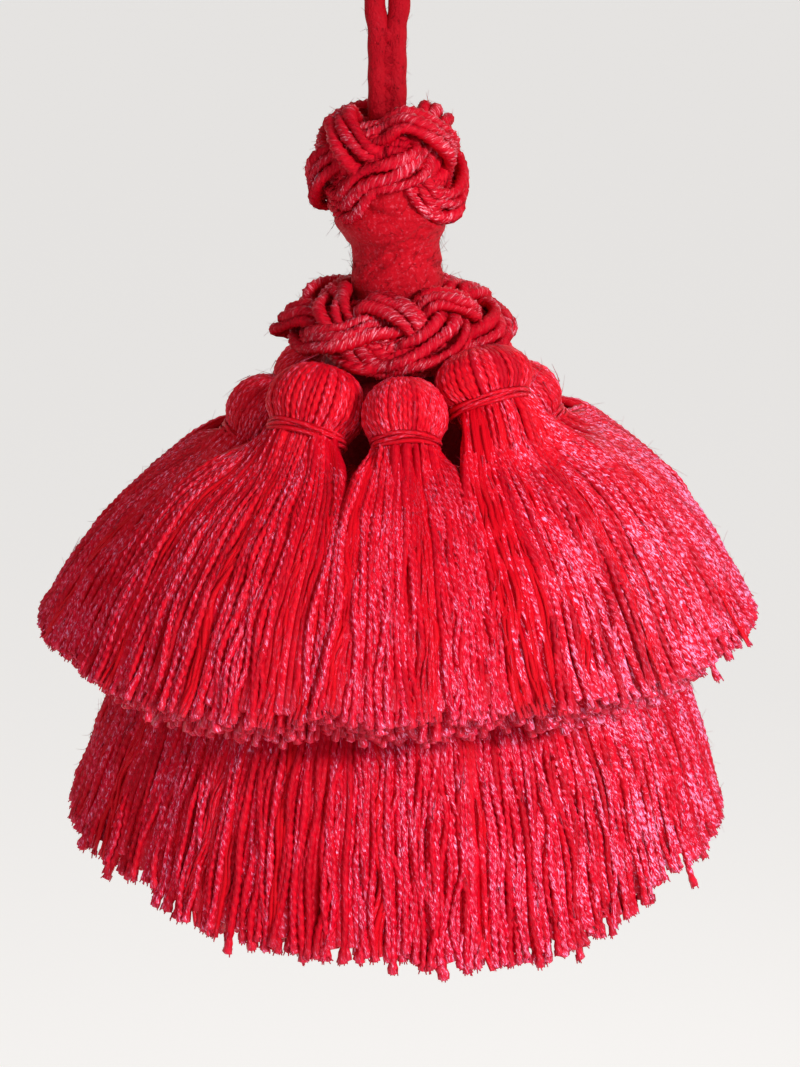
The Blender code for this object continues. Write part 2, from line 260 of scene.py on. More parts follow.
def tubes(
    rings: Array, uv: Array, poles: Array | None, values: dict[str, Array | float], turned: bool = False
) -> Shape:
    """Closed tubes from their rings of points, capped at both poles or run round into rings.

    Args:
        rings: Points, (tubes, rings, sides, 3).
        uv: UV of the corners, (tubes, rings, sides + 1, 2), with one ring more where the tubes run round.
        poles: The middles of the first and last caps, (2, tubes, 3), or None where the tubes run round.
        values: What the material reads at each point, broadcast to (tubes, rings, sides).
        turned: Whether the sides go round the other way, so that the faces have to be turned.

    Returns:
        The tubes as one shape.
    """
    count, samples, sides, _ = rings.shape
    index = np.arange(count * samples * sides).reshape(count, samples, sides)
    after = np.roll(np.arange(sides), -1)
    rows = np.concatenate([index, index[:, :1]], axis=1) if poles is None else index
    order = [0, 3, 2, 1] if turned else [0, 1, 2, 3]
    first, following = rows[:, :-1], rows[:, 1:]
    quads = np.stack([first, first[..., after], following[..., after], following], axis=-1)[..., order]
    corners = np.stack([uv[:, :-1, :-1], uv[:, :-1, 1:], uv[:, 1:, 1:], uv[:, 1:, :-1]], axis=-2)
    quad_uv = corners[..., order, :].reshape(-1, 4, 2)
    points = rings.reshape(-1, 3)
    grids = {name: np.broadcast_to(value, index.shape) for name, value in values.items()}
    if poles is None:
        told = {name: grid.ravel() for name, grid in grids.items()}
        return Shape(points, quads.reshape(-1, 4), quad_uv, np.zeros((0, 3), int), np.zeros((0, 3, 2)), told)
    faces, face_uv = [], []
    for number, (end, way) in enumerate(((0, -1), (-1, 1))):
        step = -way if turned else way
        here, side_uv = index[:, end], uv[:, end]
        pole = len(points) + count * number + np.broadcast_to(np.arange(count)[:, None], here.shape)
        faces.append(np.stack([*(here, here[:, after])[::step], pole], axis=-1).reshape(-1, 3))
        corners = [*(side_uv[:, :-1], side_uv[:, 1:])[::step], side_uv[:, :-1]]
        face_uv.append(np.stack(corners, axis=-2).reshape(-1, 3, 2))
    told = {
        name: np.concatenate([grid.ravel(), grid[:, 0].mean(axis=1), grid[:, -1].mean(axis=1)])
        for name, grid in grids.items()
    }
    points = np.concatenate([points, *poles])
    return Shape(points, quads.reshape(-1, 4), quad_uv, np.concatenate(faces), np.concatenate(face_uv), told)


@dataclass
class Strands:
    """Many strands side by side: an oval section carried along each centreline and turned by its twist.

    Point k of a section at centre c is c + x a + y b, where x = w cos(2 pi k/n) and y = t sin(2 pi k/n),
    swollen by 1 + d cos(l 2 pi k/n), are turned by the twist, a is the direction across the strand and b
    the one away from its backing. Each strand's cap stands out by a share of its half width.

    Attributes:
        centre: Centrelines, (strands, samples, 3).
        away: Directions away from the backing, (strands, samples, 3).
        half_width: Half the section's width, broadcast to (strands, samples).
        half_depth: Half the section's depth, broadcast to (strands, samples).
        twist: Turn of the section in radians, broadcast to (strands, samples).
        ply_turns: Turns of the plies round the strand that show, broadcast to (strands, samples).
        sides: Points of a section.
        lobes: Plies that stand out of the section, or 0 for none.
        lobe_depth: How far they stand out, as a share of its radius.
        tint: A number from 0 to 1 for each strand, which picks its shade.
        floss: 1 for loose floss and 0 for twisted yarn, for each strand.
        tip: How frayed each sample is, from 0 to 1, broadcast to (strands, samples).
        closed: Whether each strand is a ring.
        cap_bulge: How far a cap stands out, as a share of the half width.
        start_apart: How much further along in UV each strand starts than the one before it.
    """

    centre: Array
    away: Array
    half_width: Array | float
    half_depth: Array | float
    twist: Array | float = 0.0
    ply_turns: Array | float = 0.0
    sides: int = 6
    lobes: int = 0
    lobe_depth: float = 0.0
    tint: Array | float = 0.5
    floss: Array | float = 0.0
    tip: Array | float = 0.0
    closed: bool = False
    cap_bulge: float = 0.35
    start_apart: float = 17.3

    def shape(self) -> Shape:
        """The strands' closed tubes, with UV turns round the strand in u and millimetres along it in v.

        Each strand's v starts at a length of its own, so that no two strands look alike.

        Returns:
            The tubes as one shape.
        """
        grid = self.centre.shape[:2]
        along = heading_of(self.centre, self.closed)
        across = unit(np.cross(along, self.away))
        out = np.cross(across, along)
        turn = FULL_TURN * np.arange(self.sides) / self.sides
        swell = 1.0 + self.lobe_depth * np.cos(self.lobes * turn)
        width = np.broadcast_to(self.half_width, grid)[..., None] * np.cos(turn) * swell
        depth = np.broadcast_to(self.half_depth, grid)[..., None] * np.sin(turn) * swell
        twist = np.broadcast_to(self.twist, grid)[..., None]
        x = width * np.cos(twist) - depth * np.sin(twist)
        y = width * np.sin(twist) + depth * np.cos(twist)
        rings = self.centre[:, :, None] + x[..., None] * across[:, :, None] + y[..., None] * out[:, :, None]
        reach = run_of(self.centre) + self.start_apart * np.arange(grid[0])[:, None]
        if self.closed:
            last = np.linalg.norm(self.centre[:, -1:] - self.centre[:, -2:-1], axis=-1)
            reach = np.concatenate([reach, reach[:, -1:] + last], axis=1)
            poles = None
        else:
            bulge = self.cap_bulge * np.broadcast_to(self.half_width, grid)[..., None]
            start = self.centre[:, 0] - bulge[:, 0] * along[:, 0]
            end = self.centre[:, -1] + bulge[:, -1] * along[:, -1]
            poles = np.stack([start, end])
        uv = np.stack(np.broadcast_arrays(np.arange(self.sides + 1) / self.sides, reach[..., None]), axis=-1)
        values = {
            "ply_turn": np.broadcast_to(self.ply_turns, grid)[..., None],
            "rise": 0.5 + 0.5 * np.sin(turn + twist),
            "tint": np.reshape(self.tint, (-1, 1, 1)),
            "floss": np.reshape(self.floss, (-1, 1, 1)),
            "tip": np.broadcast_to(self.tip, grid)[..., None],
        }
        return tubes(rings, uv, poles, values)


def loose_fibres(
    rng: np.random.Generator,
    roots: Array,
    along: Array,
    away: Array,
    length: Bounds,
    lift: float,
    spread: float,
    half_width: float,
    floss: float = 1.0,
    tip: float = 1.0,
    curl: float = 0.35,
) -> Shape:
    """Fine fibres that stand out of strands: bent lines root + l t d + l t^2 b that taper to their ends.

    Args:
        rng: The random source.
        roots: Where they start, (fibres, 3).
        along: The strand's direction at each root.
        away: The direction away from the strand's backing at each root.
        length: Shortest and longest fibre.
        lift: How strongly they stand away, against running along.
        spread: How strongly they turn sideways.
        half_width: Half a fibre's width at its root.
        floss: What the finish reads as floss.
        tip: How pale they are, as a share of a cut end's paleness.
        curl: How strongly they bend.

    Returns:
        The fibres as one shape.
    """
    count = len(roots)
    sign = rng.choice([-1.0, 1.0], (count, 1))
    across = unit(np.cross(along, away))
    heading = unit(
        sign * along
        + away * lift * rng.uniform(0.2, 1.4, (count, 1))
        + across * spread * rng.normal(0.0, 1.0, (count, 1))
    )
    bend = rng.normal(0.0, curl, (count, 3)) - 0.25 * lift * away
    reach = rng.uniform(*length, (count, 1, 1))
    t = np.linspace(0.0, 1.0, 3)[None, :, None]
    centre = roots[:, None] + reach * (t * heading[:, None] + t * t * bend[:, None])
    taper = half_width * (1.0 - 0.7 * t[..., 0])
    return Strands(
        centre=centre,
        away=np.broadcast_to(across[:, None] + 0.3 * away[:, None], centre.shape),
        half_width=taper,
        half_depth=taper,
        sides=3,
        tint=rng.uniform(0.3, 1.0, count),
        floss=floss,
        tip=tip,
    ).shape()


# ---------------------------------------------------------------- finishes


Socket = bpy.types.NodeSocket
Value = Socket | float | tuple[float, ...]
Inputs = dict[str | int, Value]
Kinds = dict[str, str]

FLOAT = "NodeSocketFloat"
VECTOR = "NodeSocketVector"
COLOUR = "NodeSocketColor"


@dataclass
class Wiring:
    """Adds nodes to a node tree. A value is a number, a tuple or another node's output."""

    tree: bpy.types.NodeTree

    def node(self, kind: str, inputs: Inputs | None = None, **settings: object) -> bpy.types.Node:
        """A node of a kind, with its settings and inputs.

        Args:
            kind: The node's type name.
            inputs: What goes into its inputs, by name or number.
            **settings: The node's own properties.

        Returns:
            The new node.
        """
        made = self.tree.nodes.new(kind)
        for name, setting in settings.items():
            setattr(made, name, setting)
        for name, value in (inputs or {}).items():
            self.feed(made.inputs[name], value)
        return made

    def feed(self, socket: Socket, value: Value) -> None:
        """Links an output to a socket, or sets the socket's own value.

        Args:
            socket: The input.
            value: The output or the value that goes into it.
        """
        if isinstance(value, bpy.types.NodeSocket):
            self.tree.links.new(value, socket)
        elif isinstance(value, tuple) and len(value) == 3 and socket.type == "RGBA":
            socket.default_value = (*value, 1.0)
        else:
            socket.default_value = value

    def maths(self, operation: str, *values: Value, clamp: bool = False) -> Socket:
        """The result of a Math node."""
        inputs = dict(enumerate(values))
        return self.node("ShaderNodeMath", inputs, operation=operation, use_clamp=clamp).outputs[0]

    def times(self, first: Value, *others: Value) -> Socket:
        """The product of several values, worked out from the first on."""
        for other in others:
            first = self.maths("MULTIPLY", first, other)
        return first

    def scaled(self, value: Value, by: Value, plus: Value, clamp: bool = False) -> Socket:
        """A value times one number, plus another."""
        return self.maths("MULTIPLY_ADD", value, by, plus, clamp=clamp)

    def mixed(self, share: Value, low: Value, high: Value) -> Socket:
        """A colour between two, by a share."""
        return self.node("ShaderNodeMix", {"Factor": share, 6: low, 7: high}, data_type="RGBA").outputs[2]

    def ramp(self, value: Value, low: float, high: float) -> Socket:
        """A smooth step of a value between two bounds, from 0 to 1."""
        inputs = {"Value": value, "From Min": low, "From Max": high}
        return self.node("ShaderNodeMapRange", inputs, interpolation_type="SMOOTHSTEP").outputs[0]

    def noise(self, vector: Value, scale: float, detail: float = 2.0, roughness: float = 0.5) -> Socket:
        """Noise from 0 to 1 at a place."""
        inputs = {"Vector": vector, "Scale": scale, "Detail": detail, "Roughness": roughness}
        return self.node("ShaderNodeTexNoise", inputs).outputs["Fac"]

    def split(self, vector: Value) -> list[Socket]:
        """The three parts of a vector."""
        return list(self.node("ShaderNodeSeparateXYZ", {0: vector}).outputs)

    def bump(self, height: Value, distance: float) -> Socket:
        """The normal of a surface raised by a height from 0 to 1 times a distance in metres."""
        inputs = {"Strength": 1.0, "Distance": distance, "Height": height}
        return self.node("ShaderNodeBump", inputs).outputs[0]


def new_group(name: str, inputs: Kinds, outputs: Kinds) -> tuple[Wiring, dict[str, Socket]]:
    """An empty node group.

    Args:
        name: The group's name.
        inputs: Socket type by input name.
        outputs: Socket type by output name.

    Returns:
        Its wiring and what it is given, by input name.
    """
    tree = bpy.data.node_groups.new(name, "ShaderNodeTree")
    for way, sockets in (("INPUT", inputs), ("OUTPUT", outputs)):
        for socket_name, kind in sockets.items():
            tree.interface.new_socket(socket_name, in_out=way, socket_type=kind)
    wiring = Wiring(tree)
    return wiring, dict(wiring.node("NodeGroupInput").outputs.items())


def new_material(name: str) -> tuple[bpy.types.Material, Wiring, bpy.types.Node]:
    """A new material, its wiring and its shader.

    Args:
        name: The material's name.

    Returns:
        The material, its wiring and its Principled shader.
    """
    material = bpy.data.materials.new(name)
    material.use_nodes = True
    return material, Wiring(material.node_tree), material.node_tree.nodes["Principled BSDF"]


DYE_READ = ("Tint", "Floss", "Tip", "Rise")
DYE_TWIST = ("Ply", "Fibre", "Bead")
DYE_SETTINGS = ("Groove", "Blob", "Streak", "Crown", "Patchy", "Paleness")
DYE_SHADES = ("Deep", "Bright", "Warm", "Full", "Pale")


@dataclass
class SilkEffects:
    """The effects that the silk finishes share, as node groups.

    The first six bounds are places in metres, each a ramp's start and end: where the upper parts turn warm,
    how the pale flecks grow towards the hems, over the upper skirt, to the right, where they are a painted
    highlight of the key light, and away from the left, where painted shade holds them back, and where they
    end at the heads. Fleck and blob are bounds of noise. The painted sheen is paleness painted on the upper
    skirt's right side, and ends are that of cut ends, in their flecks and all over.
    """

    warm: Bounds = (-0.095, -0.062)
    low: Bounds = (-0.064, -0.088)
    upper: Bounds = (-0.097, -0.092)
    # Painted highlight: pale flecks grow to the right, where the key light falls.
    right: Bounds = (0.010, 0.036)
    # Painted shade: fewer pale flecks on the left, away from the key light.
    left: Bounds = (-0.045, -0.008)
    crown: Bounds = (-0.071, -0.060)
    fleck: Bounds = (0.545, 0.65)
    blob: Bounds = (0.46, 0.66)
    # Painted sheen: paleness painted on the upper skirt's right side, where the key light falls.
    painted_sheen: float = 0.035
    ends: Bounds = (0.40, 0.03)

    @cached_property
    def ply_twist(self) -> bpy.types.NodeTree:
        """Plies and fibres of a strand from its UV and its plies' turn.

        Ply is (0.5 + 0.5 cos(2 pi p (u + t))) to the power 1.2 for p plies, u turns round the strand and
        plies turned by t. Fibre is noise on (r cos 2 pi w, r sin 2 pi w, k v) with w = u + t/5, which is
        stretched along the strand. Bead is coarser noise on the same, one value for each bead or so.

        Returns:
            The node group.
        """
        inputs = {"Strand": VECTOR, "Ply Turn": FLOAT, "Plies": FLOAT, "Fibre Length": FLOAT}
        wires, given = new_group("ply_twist", inputs, dict.fromkeys(DYE_TWIST, FLOAT))
        u, v, _ = wires.split(given["Strand"])
        turn = wires.times(wires.maths("ADD", u, given["Ply Turn"]), FULL_TURN)
        lobe = wires.maths("COSINE", wires.times(turn, given["Plies"]))
        raised = wires.scaled(lobe, 0.5, 0.5, clamp=True)
        slant = wires.times(wires.scaled(given["Ply Turn"], 0.2, u), FULL_TURN)
        round_x = wires.times(wires.maths("COSINE", slant), 3.0)
        round_y = wires.times(wires.maths("SINE", slant), 3.0)
        run = wires.maths("DIVIDE", v, given["Fibre Length"])
        place = wires.node("ShaderNodeCombineXYZ", {0: round_x, 1: round_y, 2: run}).outputs[0]
        results = {
            "Ply": wires.maths("POWER", raised, 1.2),
            "Fibre": wires.noise(place, 1.0, 4.0, 0.62),
            "Bead": wires.noise(place, 0.55, 1.0, 0.5),
        }
        wires.node("NodeGroupOutput", results)
        return wires.tree

    @cached_property
    def dye_and_painted_light(self) -> bpy.types.NodeTree:
        """Colour of dyed silk with painted light: fuller in floss and grooves, deeper in the grooves as
        painted shade, pale flecks and painted highlights on the crests, paler cut ends.

        The shade is Full, Bright or, higher up, Warm by the strand's tint and broad noise, with the brighter
        shade as a painted highlight on each strand's outward crest and Full on its flanks, then Deep where
        both are low, and Deep as painted shade in the grooves between plies. Pale flecks, partly pale fibres
        and partly painted highlights, are the product of fine noise, the crest of the strand, its tint and
        its place on the
        tassel: more low down and, as a painted highlight where the key light falls, to the right, most of
        all on the upper skirt; fewer on the left, as painted shade, and round the heads. A painted sheen
        adds to them on the upper skirt's right side.

        Returns:
            The node group.
        """
        inputs = dict.fromkeys(DYE_READ + DYE_TWIST, FLOAT)
        inputs["Place"] = VECTOR
        inputs |= dict.fromkeys(DYE_SETTINGS, FLOAT) | dict.fromkeys(DYE_SHADES, COLOUR)
        wires, read = new_group("dye_and_painted_light", inputs, {"Colour": COLOUR, "Pale Share": FLOAT})
        across, _, height = wires.split(read["Place"])
        broad = wires.noise(read["Place"], 210.0, 2.0, 0.5)
        lively = wires.maths("ADD", read["Tint"], wires.scaled(broad, 1.3, -0.65), clamp=True)
        # Painted light: the outward crest of each strand takes the brighter shade and the pale flecks, its
        # flanks the fuller red, as if lit from outside.
        crest = wires.ramp(read["Rise"], 0.40, 1.0)
        twisted = wires.maths("SUBTRACT", 1.0, read["Floss"])
        shown = wires.mixed(wires.ramp(height, *self.warm), read["Bright"], read["Warm"])
        dyed = wires.mixed(wires.times(lively, crest), read["Full"], shown)
        dyed = wires.mixed(wires.times(wires.ramp(lively, 0.36, 0.04), 0.6), dyed, read["Deep"])
        dyed = wires.mixed(wires.times(read["Floss"], 0.8), dyed, read["Full"])
        # Painted shade: Deep in the grooves between the plies.
        groove = wires.times(wires.maths("SUBTRACT", 1.0, read["Ply"]), twisted)
        dyed = wires.mixed(wires.times(groove, read["Groove"]), dyed, read["Deep"])

        kept = wires.scaled(wires.maths("SUBTRACT", read["Ply"], 1.0), read["Streak"], 1.0)
        spot = wires.times(wires.ramp(read["Fibre"], *self.fleck), kept)
        blob = wires.times(wires.ramp(read["Bead"], *self.blob), read["Ply"])
        blob = wires.times(blob, wires.times(twisted, read["Blob"]))
        where = wires.times(wires.maths("ADD", blob, spot), crest)

        # Painted highlight and shade: more pale flecks to the right, most of all on the upper skirt, where
        # the key light falls, fewer on the left, away from it; more low down, and fewer round the heads.
        low = wires.ramp(height, *self.low)
        upper = wires.ramp(height, *self.upper)
        right = wires.ramp(across, *self.right)
        painted_side_light = wires.scaled(right, wires.scaled(upper, 0.7, 2.5), 0.66)
        painted_side_light = wires.times(painted_side_light, wires.scaled(wires.ramp(across, *self.left), 0.4, 0.6))
        below = wires.maths("SUBTRACT", 1.0, wires.ramp(height, *self.crown))
        crown = wires.scaled(below, 0.30, 0.70)
        place_and_painted_light = wires.times(wires.scaled(low, 0.30, 0.70), painted_side_light)
        place_and_painted_light = wires.times(place_and_painted_light, wires.maths("MAXIMUM", crown, read["Crown"]))
        much = wires.times(wires.scaled(wires.ramp(lively, 0.28, 0.85), 1.25, 0.08), place_and_painted_light)
        patch = wires.scaled(wires.ramp(broad, 0.42, 0.60), 2.0, -1.0)
        much = wires.times(much, wires.scaled(patch, read["Patchy"], 1.0))
        weight = wires.times(much, wires.scaled(twisted, 0.65, 0.35))
        pale = wires.times(where, weight, read["Paleness"])
        # Painted sheen on the upper skirt's right side, where the key light falls.
        painted_sheen = wires.times(right, upper, self.painted_sheen, read["Ply"], twisted)
        pale = wires.maths("ADD", pale, painted_sheen)
        ends = wires.times(read["Tip"], wires.scaled(spot, *self.ends))
        pale = wires.maths("ADD", pale, ends, clamp=True)
        wires.node("NodeGroupOutput", {"Colour": wires.mixed(pale, dyed, read["Pale"]), "Pale Share": pale})
        return wires.tree


@dataclass(frozen=True)
class SilkFinish:
    """A dyed silk strand: its shades, how its plies show, and its gloss.

    The fields from groove to paleness and the five shades go into the dye_and_painted_light group's inputs
    of the same names. Groove is painted shade between the plies; paleness and the pale shade make the pale
    flecks, partly pale fibres and partly painted highlights.
    """

    name: str
    deep: Colour = (0.46, 0.0005, 0.0130)
    bright: Colour = (0.84, 0.0010, 0.0440)
    warm: Colour = (1.0, 0.0050, 0.0220)
    full: Colour = (0.71, 0.0005, 0.0095)
    # Pale is the colour of the pale flecks: partly pale fibres, partly painted highlight.
    pale: Colour = (0.98, 0.32, 0.64)
    plies: float = 2.0
    fibre_length: float = 0.60
    ply_height: float = 0.00005
    fibre_height: float = 0.00016
    # Groove is painted shade: how strongly the grooves between the plies are darkened.
    groove: float = 0.45
    blob: float = 0.14
    streak: float = 0.5
    crown: float = 0.0
    patchy: float = 0.12
    paleness: float = 1.9
    roughness: float = 0.40
    specular: float = 0.08
    glint: float = 1.2

    def material(self, effects: SilkEffects) -> bpy.types.Material:
        """The finish as a material.

        Args:
            effects: The node groups that the finishes share.

        Returns:
            A new material.
        """
        material, wires, shader = new_material(self.name)
        strand = wires.node("ShaderNodeUVMap", uv_map="strand").outputs[0]
        place = wires.node("ShaderNodeTexCoord").outputs["Object"]
        read = {
            name: wires.node("ShaderNodeAttribute", attribute_name=name).outputs["Fac"]
            for name in ("ply_turn", "tint", "floss", "tip", "rise")
        }
        inputs = {
            "Strand": strand,
            "Ply Turn": read["ply_turn"],
            "Plies": self.plies,
            "Fibre Length": self.fibre_length,
        }
        twist = wires.node("ShaderNodeGroup", inputs, node_tree=effects.ply_twist).outputs
        inputs = {name: read[name.lower()] for name in DYE_READ} | {name: twist[name] for name in DYE_TWIST}
        inputs |= {name: getattr(self, name.lower()) for name in DYE_SETTINGS + DYE_SHADES}
        inputs["Place"] = place
        dye_and_painted_light = wires.node("ShaderNodeGroup", inputs, node_tree=effects.dye_and_painted_light).outputs
        relief = self.ply_height + self.fibre_height
        share = self.ply_height / relief
        ply_part = wires.times(twist["Ply"], wires.maths("SUBTRACT", 1.0, read["floss"]), share)
        height = wires.scaled(twist["Fibre"], 1.0 - share, ply_part)
        wires.feed(shader.inputs["Base Color"], dye_and_painted_light["Colour"])
        wires.feed(shader.inputs["Roughness"], wires.scaled(twist["Fibre"], -0.28, self.roughness + 0.14))
        wires.feed(shader.inputs["Normal"], wires.bump(height, relief))
        gloss = wires.scaled(dye_and_painted_light["Pale Share"], self.glint, self.specular)
        wires.feed(shader.inputs["Specular IOR Level"], gloss)
        return material


@dataclass(frozen=True)
class WrapFinish:
    """The neck's close wrapping: fine matted silk with faint ribs and pale specks.

    Hidden is painted shade on the wrapping under the collar, which the wrapping turns into between two
    heights in metres.
    """

    name: str
    deep: Colour = (0.38, 0.0008, 0.0080)
    bright: Colour = (0.60, 0.0040, 0.0160)
    pale: Colour = (0.85, 0.13, 0.20)
    # Painted shade: the wrapping turns to this dark colour under the collar, where shade falls.
    hidden: Colour = (0.26, 0.0010, 0.0080)
    painted_shade_below: Bounds = (-0.053, -0.058)
    rib_spacing: float = 1.1
    relief: float = 0.00063
    roughness: float = 0.6
    specular: float = 0.06
    sheen: float = 0.05
    sheen_tint: Colour = (1.0, 0.5, 0.55)

    def material(self) -> bpy.types.Material:
        """The finish as a material, on a UV map with turns round the neck in u and millimetres in v.

        Returns:
            A new material.
        """
        material, wires, shader = new_material(self.name)
        place = wires.node("ShaderNodeTexCoord").outputs["Object"]
        u, v, _ = wires.split(wires.node("ShaderNodeUVMap", uv_map="strand").outputs[0])
        slant = wires.scaled(u, 6.0 * self.rib_spacing, v)
        wave = wires.maths("SINE", wires.times(slant, FULL_TURN / self.rib_spacing))
        rib = wires.scaled(wave, 0.5, 0.5)
        nap = wires.noise(place, 1500.0, 4.0, 0.7)
        cloud = wires.noise(place, 260.0, 2.0, 0.5)
        speck = wires.ramp(wires.noise(place, 2600.0, 3.0, 0.65), 0.54, 0.70)
        shade = wires.maths("ADD", wires.times(cloud, 0.7), wires.times(nap, 0.35), clamp=True)
        dyed = wires.mixed(shade, self.deep, self.bright)
        dyed = wires.mixed(wires.times(speck, cloud, 0.6), dyed, self.pale)
        # Painted shade under the collar.
        dyed = wires.mixed(wires.ramp(wires.split(place)[2], *self.painted_shade_below), dyed, self.hidden)
        felt = wires.scaled(nap, 0.45, wires.times(cloud, 0.9))
        wires.feed(shader.inputs["Base Color"], dyed)
        wires.feed(shader.inputs["Normal"], wires.bump(wires.scaled(rib, 0.16, felt), self.relief))
        wires.feed(shader.inputs["Roughness"], self.roughness)
        wires.feed(shader.inputs["Specular IOR Level"], self.specular)
        wires.feed(shader.inputs["Sheen Weight"], self.sheen)
        wires.feed(shader.inputs["Sheen Tint"], self.sheen_tint)
        return material


# ---------------------------------------------------------------- the hanging cord


@dataclass
class HangingLoop:
    """One soft cord, doubled, from the ball up to the eye that hangs on a hook.

    Felted holds the heights, from and to in millimetres, over which its two legs are matted together. Width
    and depth shares are of the diameter: the soft cord is a little wider than deep.
    """

    diameter: float = 2.3
    width_share: float = 1.10
    depth_share: float = 0.95
    leg_spacing: float = 2.04
    slit: float = 0.80
    slit_from: float = 9.0
    slit_to: float = 13.8
    leg_foot: float = -3.3
    leg_top: float = 14.8
    eye_centre: float = 24.5
    eye_radius: float = 5.0
    eye_points: int = 10
    ring_spacing: float = 0.35
    felted: Pairs = ((-2.0, 8.6), (14.2, 17.2))
    felt_spacing: float = 0.4
    tint: float = 0.3
    fuzz: int = 560
    fuzz_length: Bounds = (0.4, 1.5)
    fuzz_width: float = 0.03
    seed: int = 11

    def route(self) -> Array:
        """Points of the doubled cord: up one leg, round the eye and down the other, in millimetres.

        Between two heights the legs part by s exp(-((z - m)/w)^4). Above them a smooth step widens the cord
        to the eye, which is half a circle.

        Returns:
            Points, (points, 3).
        """
        half = self.leg_spacing / 2.0
        heights = np.linspace(self.leg_foot, self.leg_top, 12)
        middle = (self.slit_from + self.slit_to) / 2.0
        opened = np.exp(-(((heights - middle) / (0.55 * (self.slit_to - self.slit_from))) ** 4))
        rise = np.linspace(0.0, 1.0, 7)[1:-1]
        flare = half + (self.eye_radius - half) * eased(rise, 0.0, 1.0)
        x = np.concatenate([half + self.slit / 2.0 * opened, flare])
        height = np.concatenate([heights, self.leg_top + (self.eye_centre - self.leg_top) * rise])
        turn = np.linspace(0.0, math.pi, self.eye_points)
        eye_x = self.eye_radius * np.cos(turn)
        eye_height = self.eye_centre + self.eye_radius * np.sin(turn)
        x = np.concatenate([x, eye_x, -x[::-1]])
        height = np.concatenate([height, eye_height, height[::-1]])
        return np.stack([x, np.zeros_like(x), height], axis=-1)

    def matting(self, rng: np.random.Generator, low: float, high: float) -> Shape:
        """Matted fibres that fill the groove between the legs: a flat waved strand, thinner at its ends.

        Args:
            rng: The random source.
            low: The height of their lower end.
            high: The height of their upper end.

        Returns:
            The fibres as one flat strand.
        """
        height = np.arange(low, high, self.felt_spacing)[None]
        at = height - low
        half = self.diameter / 2.0
        waves = wander(rng, 1, at, (2.3, 5.1))
        ends = np.clip(6.0 * np.sin(np.pi * at / at.max()), 0.3, 1.0)
        centre = np.stack([0.25 * waves, 0.0 * at, height], axis=-1)
        return Strands(
            centre=centre,
            away=np.broadcast_to(FRONT, centre.shape),
            half_width=half * (0.92 + 0.05 * waves),
            half_depth=half * (0.84 + 0.07 * waves) * ends,
            sides=14,
            tint=self.tint,
        ).shape()

    def build(self, material: bpy.types.Material) -> bpy.types.Object:
        """The cord as a mesh tube with a soft twist and fuzz.

        Args:
            material: The cord's finish.

        Returns:
            The cord's object.
        """
        rng = np.random.default_rng(self.seed)
        route = self.route()
        knots = run_of(route)
        at = np.linspace(0.0, knots[-1], int(knots[-1] / self.ring_spacing))
        centre = curve_through(route[None], knots, at)
        away = np.broadcast_to(FRONT, centre.shape)
        swell = 1.0 + 0.035 * wander(rng, 1, at, (3.1, 7.3))
        tube = Strands(
            centre=centre,
            away=away,
            half_width=self.diameter / 2.0 * self.width_share * swell,
            half_depth=self.diameter / 2.0 * self.depth_share * swell,
            sides=16,
            tint=self.tint,
        ).shape()
        along = heading_of(centre)[0]
        pick = rng.integers(2, len(at) - 2, self.fuzz)
        turn = rng.uniform(0.0, FULL_TURN, self.fuzz)[:, None]
        out = np.cos(turn) * np.cross(along[pick], away[0, pick]) + np.sin(turn) * away[0, pick]
        roots = centre[0, pick] + out * self.diameter * 0.45
        fibres = loose_fibres(rng, roots, along[pick], out, self.fuzz_length, 0.9, 0.5, self.fuzz_width)
        matted = [self.matting(rng, low, high) for low, high in self.felted]
        obj = Shape.joined([tube, fibres, *matted]).to_object("hanging_cord", material)
        path = in_world(centre[0])
        tuple(path[0])
        return obj


# ---------------------------------------------------------------- the two knots


